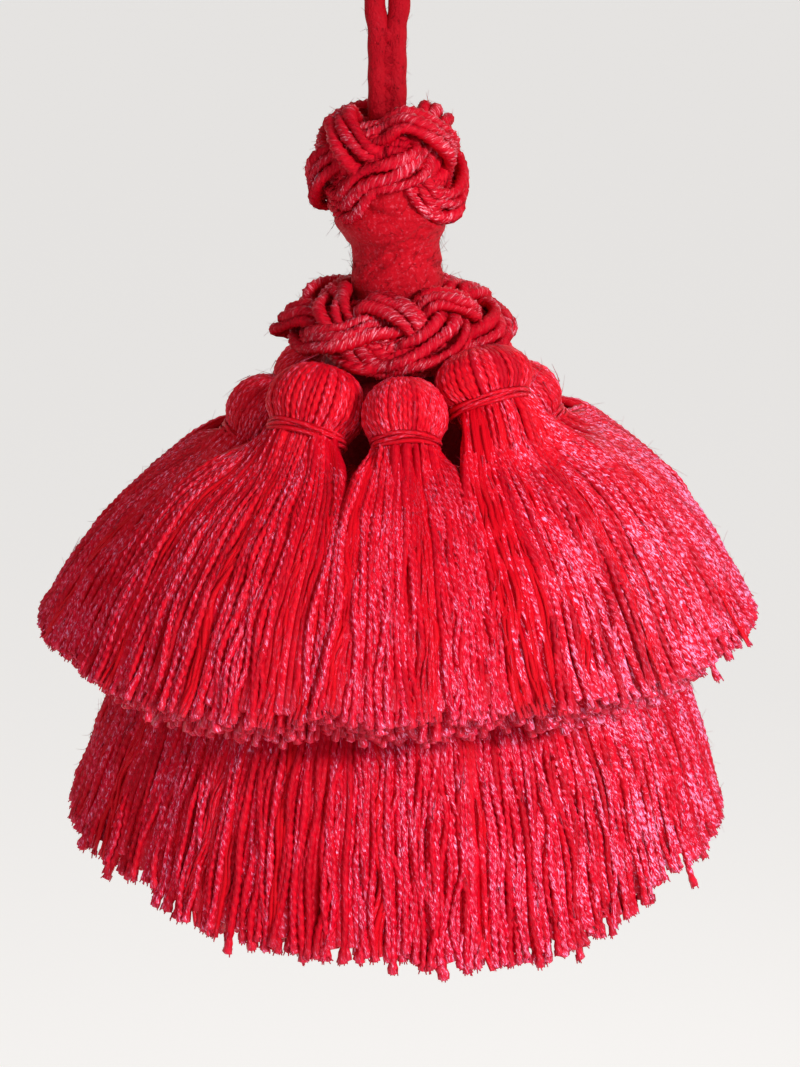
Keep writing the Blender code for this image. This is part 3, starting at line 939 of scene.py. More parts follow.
@dataclass
class CordKnot:
    """A knot of one cord laid three times side by side, woven over and under itself round the neck.

    Turned is the azimuth of one of its upper bends, in degrees. Under the band lies the cord's hidden part,
    turned by half a bend, which fills the band's openings. Front rise is how far the lower rim is drawn up
    at the front. Rim holds the radius and height of each ring of cord that the lower bends are laid round.
    """

    name: str
    bights: int
    swing: float
    turned: float
    profile: Pairs
    lean: float
    cord_diameter: float = 1.46
    cord_pitch: float = 2.7
    cord_spacing: float = 1.40
    cord_plies: int = 3
    ply_depth: float = 0.17
    cord_sides: int = 9
    lift: float = 1.0
    leads: int = 3
    sharpness: float = 2.4
    ring_spacing: float = 0.35
    inner_depth: float = 1.35
    inner_lift: float = 0.35
    ripples: tuple[int, ...] = (5, 8, 13, 19, 29)
    ripple_size: float = 0.17
    front_rise: float = 0.0
    rise_azimuth: float = 6.0
    rise_half_width: float = 34.0
    rim: Pairs = ()
    fuzz: int = 1000
    fuzz_length: Bounds = (0.4, 1.4)
    fuzz_width: float = 0.036
    seed: int = 21

    def smooth_profile(self, share: Array) -> Array:
        """Radius and height at shares of the profile's length: the polynomial through all its points.

        Args:
            share: Shares from 0 at the top to 1 at the lower rim.

        Returns:
            Radius and height, (shares, 2).
        """
        places = np.array(self.profile)
        knots = run_of(places)
        weights = np.linalg.solve(np.vander(knots / knots[-1]), places)
        return np.vander(share, len(knots)) @ weights

    def lead(self, steps: int, inner: bool = False) -> tuple[Array, Array, Array]:
        """The band's centre, sideways and outward directions.

        The turn is t + L s + w/(2B) sin 2Bs and the share of the profile (1 - cos Bs)/2 for s from 0 to 2
        pi, L leads and B bights. The band is lifted by h tanh(k sin 2Bs)/tanh k, over and under in turn.

        Args:
            steps: How many points.
            inner: Whether this is the hidden part, which lies deeper and is turned by half a bend.

        Returns:
            Arrays of centres, sideways directions and outward directions.
        """
        step = np.linspace(0.0, FULL_TURN, steps, endpoint=False)
        phase = self.bights * step
        turn = math.radians(self.turned) + self.leads * step
        turn = turn + self.swing / (2.0 * self.bights) * np.sin(2.0 * phase)
        raised = self.lift * np.tanh(self.sharpness * np.sin(2.0 * phase)) / math.tanh(self.sharpness)
        share = (1.0 - np.cos(phase)) / 2.0
        if inner:
            turn = turn + math.pi / self.bights
            raised = self.inner_lift * raised - self.inner_depth
            share = 0.08 + 0.84 * share
        place = self.smooth_profile(share)
        place[:, 1] += self.drawn_up(turn) * np.clip((share - 0.4) / 0.6, 0.0, 1.0) ** 1.2
        slope = unit(self.smooth_profile(share + 0.01) - self.smooth_profile(share - 0.01))
        out = around(1.0, turn, 0.0)
        normal = slope[:, :1] * UP - slope[:, 1:] * out
        centre = place[:, :1] * out + place[:, 1:] * UP + raised[:, None] * normal
        along = heading_of(centre, closed=True)
        across = unit(np.cross(along, normal))
        return centre, across, unit(np.cross(across, along))

    def drawn_up(self, turn: Array) -> Array:
        """How far the lower rim is drawn up at each turn: h exp(-(t/w)^4), t from the rise's azimuth."""
        apart = np.angle(np.exp(1j * (turn - math.radians(self.rise_azimuth))))
        return self.front_rise * np.exp(-((apart / math.radians(self.rise_half_width)) ** 4))

    def rim_rings(self) -> Shape:
        """The closed rings of cord inside the lower rim, each waved a little like the rim's bends.

        Returns:
            The rings as one shape.
        """
        turn = np.linspace(0.0, FULL_TURN, 132, endpoint=False)
        number = np.arange(len(self.rim))[:, None]
        radius, height = np.array(self.rim).T[..., None]
        bend = np.cos(self.bights * (turn - math.radians(self.turned)) - math.pi)
        wave = 0.22 * np.sin(3.0 * turn + 1.9 * number) + 0.14 * np.sin(7.0 * turn + number)
        raised = height - 0.5 * bend + wave + (1.0 + 0.16 * number) * self.drawn_up(turn)
        centre = around(radius + 0.4 * bend + 0.5 * wave, turn, raised)
        turns = round(FULL_TURN * self.rim[0][0] / self.cord_pitch)
        return Strands(
            centre=centre,
            away=np.broadcast_to(around(1.0, turn, 0.0), centre.shape),
            half_width=self.cord_diameter / 2.0,
            half_depth=self.cord_diameter / 2.0,
            twist=turns * turn,
            ply_turns=-turns * turn / FULL_TURN,
            sides=self.cord_sides,
            lobes=self.cord_plies,
            lobe_depth=self.ply_depth,
            tint=0.3,
            closed=True,
        ).shape()

    def laid(self, rng: np.random.Generator, steps: int, inner: bool) -> tuple[Array, Array, Array]:
        """Centrelines of the cord's three turns, each wandering a little on its own.

        Args:
            rng: The random source.
            steps: How many points each has.
            inner: Whether this is the hidden part.

        Returns:
            The centrelines (3, steps, 3), the outward directions (steps, 3) and the steps' angles.
        """
        centre, across, out = self.lead(steps, inner)
        s = np.linspace(0.0, FULL_TURN, steps, endpoint=False)
        lines = []
        for lane in (-1.0, 0.0, 1.0):
            waves = [
                rng.normal(0.0, self.ripple_size) * np.sin(ripples * s + rng.uniform(0.0, 6.3))
                for ripples in self.ripples
            ]
            side = lane * self.cord_spacing + np.sum(waves, axis=0)
            rise = 0.20 * (1.0 - abs(lane)) + 0.6 * np.sum(waves[::-1], axis=0)
            lines.append(centre + side[:, None] * across + rise[:, None] * out)
        return np.stack(lines), out, s

    def build(self, material: bpy.types.Material) -> bpy.types.Object:
        """The knot as twisted cords side by side over its hidden part, with fuzz.

        Args:
            material: The cord's finish.

        Returns:
            The knot's object.
        """
        rng = np.random.default_rng(self.seed)
        rough, _, _ = self.lead(600)
        length = float(np.linalg.norm(rough - np.roll(rough, 1, axis=0), axis=1).sum())
        turns = round(length / self.cord_pitch)
        radius = self.cord_diameter / 2.0
        shapes = []
        for inner in (True, False):
            steps = int(length / (self.ring_spacing * (2.0 if inner else 1.0)))
            lines, out, s = self.laid(rng, steps, inner)
            swell = 1.0 + 0.10 * np.stack([np.sin(9 * s + a) + np.sin(23 * s - a) for a in (0.3, 2.1, 4.4)])
            strands = Strands(
                centre=lines,
                away=np.broadcast_to(out, lines.shape),
                half_width=radius * swell * (1.12 if inner else 1.0),
                half_depth=radius * swell,
                twist=0.0 if inner else turns * s,
                ply_turns=-turns * s / FULL_TURN if inner else 0.0,
                sides=6 if inner else self.cord_sides,
                lobes=0 if inner else self.cord_plies,
                lobe_depth=0.0 if inner else self.ply_depth,
                tint=np.array([0.25, 0.45, 0.35] if inner else [0.45, 0.7, 0.55]),
                closed=True,
            )
            shapes.append(strands.shape())
        along = heading_of(lines, closed=True)
        lane = rng.integers(0, 3, self.fuzz)
        pick = rng.integers(0, steps, self.fuzz)
        away = unit(out[pick] + rng.normal(0.0, 0.5, (self.fuzz, 3)))
        roots = lines[lane, pick] + away * radius * 0.8
        along = along[lane, pick]
        fibres = loose_fibres(rng, roots, along, away, self.fuzz_length, 0.45, 0.8, self.fuzz_width)
        shapes.append(fibres)
        if self.rim:
            shapes.append(self.rim_rings())
        log.info("%s: lead of %.0f mm, laid three times", self.name, length)
        return Shape.joined(shapes).moved(self.lean).to_object(self.name, material)


# ---------------------------------------------------------------- the neck


@dataclass
class WrappedNeck:
    """The neck: matted wrapping between the knots, with a rolled fold under the ball, on the bound core.

    Bared holds the heights between which the wrapping shows and carries fuzz.
    """

    profile: Pairs = (
        (3.6, -3.6),
        (5.6, -5.6),
        (6.1, -8.2),
        (5.7, -12.0),
        (5.65, -15.2),
        (5.1, -17.0),
        (5.15, -19.2),
        (5.6, -21.6),
        (5.0, -26.0),
        (8.2, -31.0),
        (9.6, -35.2),
        (9.2, -40.0),
        (9.0, -44.5),
        (6.5, -47.6),
    )
    sides: int = 84
    ring_spacing: float = 0.42
    fold_height: float = -15.0
    fold_depth: float = 0.55
    step_height: float = -18.6
    step_depth: float = 0.42
    bared: Bounds = (-24.0, -12.0)
    fuzz: int = 560
    fuzz_length: Bounds = (0.5, 1.9)
    fuzz_width: float = 0.032
    seed: int = 31

    def folded(self, angle: Array, z: Array) -> Array:
        """How far the wrapping's folds stand out at angles round the neck and heights.

        A rolled fold exp(-x^2) and a step wind round the neck. At the front two creases run down to the
        side, each a ridge beside a groove.

        Args:
            angle: Angles from the front, in radians.
            z: Heights, of the same shape.

        Returns:
            Millimetres outwards.
        """
        wave = 0.55 * np.sin(angle + 2.2) + 0.25 * np.sin(2.0 * angle + 0.4)
        fold = self.fold_depth * np.exp(-(((z - self.fold_height - wave) / 1.35) ** 2))
        slant = z - self.step_height + 1.9 * np.sin(angle - 0.9)
        fold += self.step_depth * eased(slant, -0.25, 0.35) * eased(z, -21.0, -19.5)
        front = np.angle(np.exp(1j * (angle - math.radians(8.0))))
        crease = (z + 16.6 - 4.6 * front) / 0.6
        shown = np.exp(-((front / 0.95) ** 6)) * eased(z, -22.5, -21.0)
        fold += shown * (0.60 * np.exp(-((crease - 0.9) ** 2)) - 0.65 * np.exp(-((crease + 0.6) ** 2)))
        crease = (z + 13.2 + 2.4 * front) / 0.55
        shown = 0.45 * np.exp(-((front / 1.0) ** 6))
        return fold + shown * (np.exp(-((crease - 0.8) ** 2)) - np.exp(-((crease + 0.6) ** 2)))

    def build(self, material: bpy.types.Material) -> bpy.types.Object:
        """The neck as a turned grid: radius r(z) plus its folds and a soft unevenness.

        Args:
            material: The wrapping's finish.

        Returns:
            The neck's object.
        """
        rng = np.random.default_rng(self.seed)
        places = np.array(self.profile)
        knots = run_of(places)
        at = np.linspace(0.0, knots[-1], int(knots[-1] / self.ring_spacing))
        radius, height = curve_through(places[None], knots, at)[0].T
        turn = FULL_TURN * np.arange(self.sides) / self.sides
        angle, z = np.meshgrid(turn, height)
        r = radius[:, None] + self.folded(angle, z)
        for waves, size in ((3, 0.05), (5, 0.05), (11, 0.03)):
            r += size * np.sin(waves * angle + rng.uniform(0, 6.3) + z * rng.uniform(0.3, 1.4))
        rings = around(r, angle, z)
        rings[..., 0] += lean_at(z)
        ends = height[[0, -1]]
        poles = np.stack([lean_at(ends), np.zeros(2), ends + np.array([0.1, -0.1])], axis=-1)
        uv = np.stack(np.broadcast_arrays(np.arange(self.sides + 1) / self.sides, at[:, None]), axis=-1)
        values = {"ply_turn": 0.0, "rise": 1.0, "tint": 0.5, "floss": 0.0, "tip": 0.0}
        body = tubes(rings[None], uv[None], poles[:, None], values, turned=True)
        # The caps are hidden in the ball and among the yarns, so each reads one place of the wrapping.
        body.tri_uv = np.zeros_like(body.tri_uv)
        low, high = self.bared
        ring = rng.choice(np.flatnonzero((height < high) & (height > low)), self.fuzz)
        side = rng.integers(0, self.sides, self.fuzz)
        out = around(1.0, turn[side], 0.0)
        heading = unit(0.8 * np.cross(-UP, out) * rng.normal(0, 1, (self.fuzz, 1)) - UP)
        roots = rings[ring, side] - 0.03 * out
        fibres = loose_fibres(rng, roots, heading, out, self.fuzz_length, 0.4, 0.6, self.fuzz_width)
        log.info("neck wrapping: %d rings of %d", len(at), self.sides)
        return Shape.joined([body, fibres]).to_object("neck_wrapping", material)


# ---------------------------------------------------------------- the small tassels


LOBE_DEPTH = 0.9
LOBE_LIFT = 1.0
BEAD = 1.12
TIE_ALONG = 0.68
HEAD_CLEARANCE = 0.28
HEAD_PATH = np.array(
    [(0.16, -0.84), (0.52, -0.74), (0.84, -0.44), (0.97, 0.00), (0.93, 0.34), (0.80, 0.54), (0.74, 0.72)]
)
CORE_PROFILE = np.array(
    [
        (0.02, -0.76),
        (0.48, -0.71),
        (0.80, -0.40),
        (0.925, 0.0),
        (0.88, 0.33),
        (0.74, 0.54),
        (0.66, 0.8),
        (0.02, 0.85),
    ]
)


@dataclass(frozen=True)
class Station:
    """Where a tier's skirt passes, outside and inside, and how a tassel's own droop and hem apply."""

    fill: float
    outer_radius: float
    outer_height: float
    inner_radius: float
    inner_height: float
    droop: float
    hem: float


@dataclass(frozen=True)
class Seat:
    """A small tassel's place in its tier, and how it divides the room with its neighbours.

    full_bands are (side, half width) of the bands of loose floss in its skirt, side running from -1 to 1.
    Strays are (side, how much longer, how far it leans) of yarns that hang out of the hem.
    """

    azimuth: float
    head_radius: float
    head_length: float
    centre_radius: float
    centre_height: float
    droop: float
    hem: float
    share: float
    full_bands: Pairs = ()
    head_width: float = 1.0
    strays: tuple[tuple[float, float, float], ...] = ()

    def hang(self, station: Station) -> float:
        """How far below a station this tassel's skirt hangs, in millimetres."""
        return station.droop * self.droop + station.hem * self.hem


class Layer(Enum):
    """Where a family of yarns lies in a small tassel."""

    FRONT_WRAP = "over the head's front, in the skirt's face"
    FACE = "from inside the tie, in the skirt's face"
    UNDER = "from inside the tie, close behind the skirt's face"
    BACK_WRAP = "over the head's back, in the skirt's inside"
    FILLING = "from inside the tie, in the skirt's body"


@dataclass(frozen=True)
class YarnFamily:
    """Yarns of one layer: how many, how deep they lie, how finely they are made and how wide they are."""

    layer: Layer
    count: int
    depth_from: float
    depth_to: float
    ring_spacing: float
    sides: int
    width: float

    @property
    def over_head(self) -> bool:
        """Whether the yarns run over the head."""
        return self.layer in (Layer.FRONT_WRAP, Layer.BACK_WRAP)

    @property
    def in_face(self) -> bool:
        """Whether the yarns lie in the skirt's face, where their beads show."""
        return self.layer in (Layer.FRONT_WRAP, Layer.FACE)


@dataclass
class Tier:
    """A ring of small tassels, whose heads sit under the collar and whose skirts fill the tier between them.

    Run on is the share of a tassel's hang that it takes from its neighbours, so that the hem runs on.
    """

    name: str
    tilt: float
    stations: tuple[Station, ...]
    seats: tuple[Seat, ...]
    families: tuple[YarnFamily, ...]
    hidden_length: float
    shown_filling: float
    fuzz: int
    tied: bool
    yarn_width: float = 0.96
    hem_scatter: float = 0.26
    run_on: float = 0.55

    def room_beside(self, index: int) -> Bounds:
        """Degrees from a tassel's middle to each of its two bounds.

        Args:
            index: The tassel's number.

        Returns:
            Its room before it and after it, in degrees: the gap to each neighbour, shared by their shares.
        """
        here = self.seats[index]
        room = []
        for step in (-1, 1):
            other = self.seats[(index + step) % len(self.seats)]
            apart = step * (other.azimuth - here.azimuth) % 360.0
            room.append(apart * here.share / (here.share + other.share))
        return room[0], room[1]

    def head_matrix(self, index: int) -> Array:
        """The head's own frame with its size, 4 by 4: its skirt leaves it along -Z, and -Y is outwards.

        Args:
            index: The tassel's number.

        Returns:
            The matrix from the head's frame to the tier's.
        """
        seat = self.seats[index]
        angle = math.radians(seat.azimuth)
        place = Vector(around(seat.centre_radius, angle, seat.centre_height))
        turned = Euler((-math.radians(self.tilt), 0.0, angle)).to_matrix().to_4x4()
        stretched = Matrix.Diagonal((seat.head_width, 1.0, seat.head_length, 1.0))
        return np.array(Matrix.Translation(place) @ turned @ stretched)

    def skirt(self, index: int, station: Station, side: Array, depth: Array) -> Array:
        """Points of a tassel's skirt at a station.

        The angle is the tassel's azimuth plus side times its room, and radius and height run from the outer
        to the inner ones with depth. The sides fall back by e side^4.

        Args:
            index: The tassel's number.
            station: The station.
            side: From -1 to 1 across the tassel.
            depth: From 0 at the face to 1 inside.

        Returns:
            Points, (strands, 3).
        """
        seat = self.seats[index]
        before, after = self.room_beside(index)
        room = np.radians(np.where(side > 0.0, after, before) * station.fill)
        angle = math.radians(seat.azimuth) + side * room
        azimuths = np.radians([other.azimuth for other in self.seats])
        hangs = np.array([other.hang(station) for other in self.seats])
        near = np.interp(angle, azimuths, hangs, period=FULL_TURN)
        edge = np.clip(np.abs(side), 0.0, 1.1) ** 4
        radius = station.outer_radius + depth * (station.inner_radius - station.outer_radius)
        height = station.outer_height + depth * (station.inner_height - station.outer_height)
        down = (1.0 - self.run_on) * seat.hang(station) + self.run_on * near
        return around(radius - LOBE_DEPTH * edge, angle, height + LOBE_LIFT * edge - down)


@dataclass
class YarnSet:
    """What is worked out for the yarns of one family, before they are made into tubes."""

    centre: Array
    away: Array
    half_width: Array
    half_depth: Array
    ply_turns: Array
    tip: Array
    tint: Array
    floss: Array

    def shape(self, sides: int, shown_floss: float, picked: Array | slice = slice(None)) -> Shape:
        """The picked yarns as tubes, whose UV shows the plies.

        Args:
            sides: Points of a yarn's section.
            shown_floss: What the finish reads as floss.
            picked: Which yarns, all of them if left out.

        Returns:
            The tubes as one shape.
        """
        return Strands(
            centre=self.centre[picked],
            away=self.away[picked],
            half_width=self.half_width[picked],
            half_depth=self.half_depth[picked],
            ply_turns=self.ply_turns[picked],
            sides=sides,
            tint=self.tint[picked],
            floss=shown_floss,
            tip=self.tip[picked],
        ).shape()


@dataclass
class SmallTassel:
    """One small tassel: yarns over a round head, tied under it, and spreading into the skirt.

    A yarn is slack times as long as the straight pieces between its control points. The yarns come free
    over freed_over millimetres below the head, where they sway sideways and rise outwards, and they flare
    over the last flare_length. Each cut end swells by tip_swell over tip_length. Loose floss is drawn as
    parts of a yarn, and frays are the fibres of each cut end, with half their widths at the root and at the
    end.
    """

    tier: Tier
    index: int
    seed: int
    rng: np.random.Generator = field(init=False)
    front_wrap: float = 96.0
    back_wrap: float = 88.0
    behind_floss: float = 0.20
    side_scatter: float = 0.03
    lock_count: int = 8
    lock_scatter: float = 0.08
    lock_pull: float = 0.06
    backing_short: float = 1.5
    slack: float = 1.04
    freed_over: float = 22.0
    sway: float = 0.42
    rise: float = 0.15
    flare: float = 0.22
    flare_length: float = 5.0
    tip_length: float = 1.6
    tip_swell: float = 0.36
    parts: int = 4
    frays: int = 4
    fray_half_widths: Bounds = (0.14, 0.08)
    fuzz_length: Bounds = (0.6, 2.2)
    fuzz_width: float = 0.032
    thick_length: Bounds = (0.8, 2.4)
    thick_width: float = 0.06
    tie_turns: tuple[float, ...] = (-0.48, -0.15, 0.18, 0.50)
    tie_half_width: float = 0.31
    tie_half_depth: float = 0.11

    def __post_init__(self) -> None:
        """Seeds the tassel's own random source."""
        self.rng = np.random.default_rng(self.seed * 100 + self.index)

    @property
    def seat(self) -> Seat:
        """The tassel's place in its tier."""
        return self.tier.seats[self.index]

    @property
    def matrix(self) -> Array:
        """The head's own frame with its size."""
        return self.tier.head_matrix(self.index)

    def in_tier(self, points: Array) -> Array:
        """Points of the head's frame in the tier's frame."""
        return points @ self.matrix[:3, :3].T + self.matrix[:3, 3]

    def head_controls(self, turn: Array) -> Array:
        """Control points over the head, (yarns, controls, 3): its path, turned about its axis."""
        radius = self.seat.head_radius - HEAD_CLEARANCE
        return self.in_tier(around(HEAD_PATH[:, 0] * radius, turn[:, None], -HEAD_PATH[:, 1] * radius))

    def inside_controls(self, side: Array, reach: Array) -> Array:
        """Control points from inside the head to the tie, for yarns that don't run over the head.

        Args:
            side: Each yarn's place across the skirt, which picks its angle round the tie.
            reach: Each yarn's distance from the head's axis at the tie, as a share of the head's radius.

        Returns:
            Points, (yarns, 2, 3), in the tier's frame.
        """
        radius = self.seat.head_radius
        out, turn = reach * radius, side * 1.35
        start = around(0.8 * out, turn, -0.30 * radius)
        return self.in_tier(np.stack([start, around(out, turn, -0.72 * radius)], axis=1))

    def family_sides(self, family: YarnFamily) -> Array:
        """Where a family's yarns lie across the skirt: evenly, with some scatter.

        Args:
            family: The family.

        Returns:
            Each yarn's place across the tassel, from -1 to 1.
        """
        even = (np.arange(family.count) + 0.5) / family.count * 2.0 - 1.0
        loose = {Layer.UNDER: 0.1, Layer.FRONT_WRAP: 0.22}.get(family.layer, 0.42)
        return even + self.rng.uniform(-loose, loose, family.count) * 2.0 / family.count

    def locks(self, side: Array) -> Array:
        """How far each yarn lies from its lock's middle: the gap to the nearest of a few lock centres.

        Args:
            side: Each yarn's place across the tassel.

        Returns:
            The gap to the lock's middle, as a change of side.
        """
        rng = np.random.default_rng(self.seed * 977 + self.index)
        scatter = rng.uniform(-self.lock_scatter, self.lock_scatter, self.lock_count)
        centres = np.sort(np.linspace(-1.0, 1.0, self.lock_count) + scatter)
        gaps = centres[None, :] - side[:, None]
        return gaps[np.arange(len(side)), np.abs(gaps).argmin(axis=1)]

    def controls(self, family: YarnFamily, side: Array, depth: Array, banded: Array) -> tuple[Array, int]:
        """Control points of a family's yarns, and how many of them come before the skirt.

        Down the skirt the yarns scatter and are drawn into locks, other than the backing ones, which keep
        their places and end above the hem. Of the face's yarns a few hang out of it, and so do the seat's
        strays.

        Args:
            family: The family.
            side: Each yarn's place across the tassel.
            depth: Its depth in the skirt.
            banded: Whether it lies in a band of loose floss; a wrapping yarn then runs behind the floss.

        Returns:
            Points, (yarns, controls, 3), and the number of those over or inside the head.
        """
        count, backing = family.count, family.layer is Layer.UNDER
        if family.layer is Layer.FRONT_WRAP:
            head = self.head_controls(side * math.radians(self.front_wrap))
            depth = depth + self.behind_floss * banded
        elif family.layer is Layer.BACK_WRAP:
            head = self.head_controls(math.pi - side * math.radians(self.back_wrap))
        else:
            low, high = (0.05, 0.6) if family.layer is Layer.FILLING else (0.34, 0.72)
            head = self.inside_controls(side, self.rng.uniform(low, high, count))
        pulled = side + (0.25 if backing else 1.0) * self.rng.normal(0.0, self.side_scatter, count)
        pulled += self.locks(side) * (0.0 if backing else self.lock_pull)
        rows = []
        for number, station in enumerate(self.tier.stations, start=1):
            share = number / len(self.tier.stations)
            across = side + (pulled - side) * share
            inward = depth * share + (1.0 - share) * (0.12 + 0.5 * depth)
            rows.append(self.tier.skirt(self.index, station, across, np.clip(inward, 0.0, 1.0)))
        skirt = np.stack(rows, axis=1)
        longer = self.rng.normal(0.0, self.tier.hem_scatter, count)
        if backing:
            longer = longer - self.backing_short
        elif family.in_face:
            longer += self.rng.choice([0.0, 1.0], count, p=[0.96, 0.04]) * self.rng.uniform(0.4, 2.0, count)
        way = unit(skirt[:, -1] - skirt[:, -2])
        skirt[:, -1] += way * longer[:, None]
        if family.layer is Layer.FACE:
            sideways = unit(np.cross(UP, way))
            for at_side, more, lean in self.seat.strays:
                stray = np.abs(side - at_side).argmin()
                skirt[stray, -1] += more * way[stray] + lean * sideways[stray]
        return np.concatenate([head, skirt], axis=1), head.shape[1]

    def samples(self, family: YarnFamily, length: float) -> Array:
        """Where a family's yarns are sampled, in millimetres along them.

        Beaded yarns have a sample at each bead's middle and end, and a coarse hidden part. The backing
        starts inside the tier, and the filling is made only where it shows, over its last millimetres.

        Args:
            family: The family.
            length: The yarns' mean length.

        Returns:
            The samples.
        """
        if family.layer is Layer.FILLING:
            start = length - self.tier.shown_filling
            return np.linspace(start, length, int(self.tier.shown_filling / family.ring_spacing) + 1)
        if family.layer is Layer.UNDER:
            start = self.tier.hidden_length * 0.6
            return np.linspace(start, length, int((length - start) / family.ring_spacing))
        hidden = self.tier.hidden_length if family.in_face else 0.0
        shown = np.linspace(hidden, length, int((length - hidden) / family.ring_spacing))
        return np.concatenate([np.arange(0.0, hidden, 2.0), shown])

    def yarns(self, family: YarnFamily) -> YarnSet:
        """Centrelines and sections of a family's yarns.

        A yarn of the face is beaded: its section's width and depth change with cos 2t, t being its twist,
        which turns by a quarter from one sample to the next.

        Args:
            family: The family.

        Returns:
            Its yarns.
        """
        rng, count = self.rng, family.count
        side = self.family_sides(family)
        depth = rng.uniform(family.depth_from, family.depth_to, count)
        floss, banded = self.full_share(side, family)
        controls, before = self.controls(family, side, depth, banded)
        knots = run_of(controls.mean(axis=0)) * self.slack
        length, head_end = knots[-1], knots[before - 1]
        at = self.samples(family, length)
        centre = curve_through(controls, knots, at)
        loose = eased(at, head_end, head_end + self.freed_over)
        from_head = unit(centre - self.matrix[:3, 3])
        from_skirt = unit(unit(centre * (1.0 - UP)) + 0.45 * UP)
        skirted = eased(at, head_end - 1.0, head_end + 6.0)[:, None]
        away = unit(from_head * (1.0 - skirted) + from_skirt * skirted)
        across = unit(np.cross(heading_of(centre), away))
        if family.layer is Layer.UNDER:
            loose = 0.3 * loose
        sway = wander(rng, count, at, (28.0, 15.0)) * self.sway * loose
        rise = wander(rng, count, at, (24.0, 12.0)) * self.rise * loose
        flare = eased(at, length - self.flare_length, length) * rng.normal(0.0, self.flare, (count, 1))
        centre = centre + across * (sway + flare)[..., None] + away * (rise + 0.5 * np.abs(flare))[..., None]
        tip = np.broadcast_to(eased(at, length - self.tip_length, length), (count, len(at)))
        spread = 0.82 + 0.18 * eased(at, head_end, head_end + 14.0)
        if family.over_head:
            spread = np.maximum(spread, 1.22 - 0.42 * eased(at, head_end - 5.0, head_end))
        swell = 1.0 + 0.06 * wander(rng, count, at, (3.7,))
        size = self.tier.yarn_width * family.width / 2.0 * rng.uniform(0.88, 1.14, (count, 1))
        size = size * spread * swell * (1.0 + self.tip_swell * tip)
        if family.in_face:
            turn = np.arange(len(at)) * np.pi / 2.0 + rng.choice([0.0, np.pi / 2.0], (count, 1))
            twist = turn + 0.22 * wander(rng, count, at, (9.0, 5.0))
            beads = np.cos(2.0 * twist) * (1.0 - 0.6 * tip)
        else:
            twist = np.pi * at / BEAD + rng.uniform(0.0, np.pi, (count, 1))
            beads = 0.0
        shade = 0.5 + 0.20 * np.interp(side, np.linspace(-1.1, 1.1, 9), rng.normal(0.0, 1.0, 9))
        tint = np.clip(shade + rng.normal(0.0, 0.22, count), 0.0, 1.0)
        flat = 0.86 - 0.15 * beads
        if family.over_head:
            flat = flat * (0.54 + 0.46 * eased(at, head_end - 2.0, head_end + 4.0))
        width = size * (0.94 + 0.15 * beads)
        return YarnSet(centre, away, width, size * flat, -twist / FULL_TURN, tip, tint, floss)

    def full_share(self, side: Array, family: YarnFamily) -> tuple[Array, Array]:
        """Which yarns are loose floss, never the wrapping ones, and which lie in its bands, as 1 or 0.

        Args:
            side: Each yarn's place across the tassel.
            family: The family.

        Returns:
            Whether each yarn is loose floss, and whether it lies in a band of it.
        """
        banded = np.zeros(len(side), bool)
        for middle, half in self.seat.full_bands:
            banded |= np.abs(side - middle) < half
        chance = self.rng.uniform(0.0, 1.0, len(side))
        chosen = (chance < 0.03) | (banded & (chance < 0.9))
        return (chosen & (family.layer is Layer.FACE)).astype(float), banded.astype(float)

    def parted(self, made: YarnSet) -> YarnSet:
        """The loose floss of a family, each yarn as a few thin flat strands that drift apart.

        Args:
            made: The family's yarns.

        Returns:
            The thin strands of the yarns that are floss.
        """
        picked = np.repeat(np.flatnonzero(made.floss > 0.5), self.parts)
        rng, count = self.rng, len(picked)
        last = made.centre.shape[1] - 1
        kept = np.append(np.arange(0, last, 2), last)
        centre, away, tip = (grid[picked][:, kept] for grid in (made.centre, made.away, made.tip))
        at = run_of(centre)
        across = unit(np.cross(heading_of(centre), away))
        lane = np.tile(np.linspace(-1.0, 1.0, self.parts), count // self.parts)[:, None]
        freed = eased(at, 6.0, 16.0)
        sideways = 0.42 * lane + 0.22 * wander(rng, count, at, (14.0, 8.0)) * freed
        outward = 0.16 * wander(rng, count, at, (11.0, 7.0)) * freed
        centre = centre + across * sideways[..., None] + away * outward[..., None]
        size = rng.uniform(0.24, 0.42, (count, 1)) * (1.0 + 0.1 * wander(rng, count, at, (5.0,)))
        tint = np.clip(made.tint[picked] + rng.normal(0.0, 0.2, count), 0.0, 1.0)
        return YarnSet(centre, away, size, size * 0.5, np.zeros_like(at), tip, tint, made.floss[picked])

    def strands(self, family: YarnFamily, made: YarnSet) -> Shape:
        """A family's yarns: twisted ones as tubes that show their plies, and loose floss as parts.

        Args:
            family: The family.
            made: Its yarns.

        Returns:
            Them as one shape.
        """
        twisted = made.floss < 0.5
        shown_floss = 0.35 if family.layer is Layer.UNDER else 0.0
        shapes = [made.shape(family.sides, shown_floss, twisted)]
        if not twisted.all():
            shapes.append(self.parted(made).shape(4, 1.0))
        return Shape.joined(shapes)

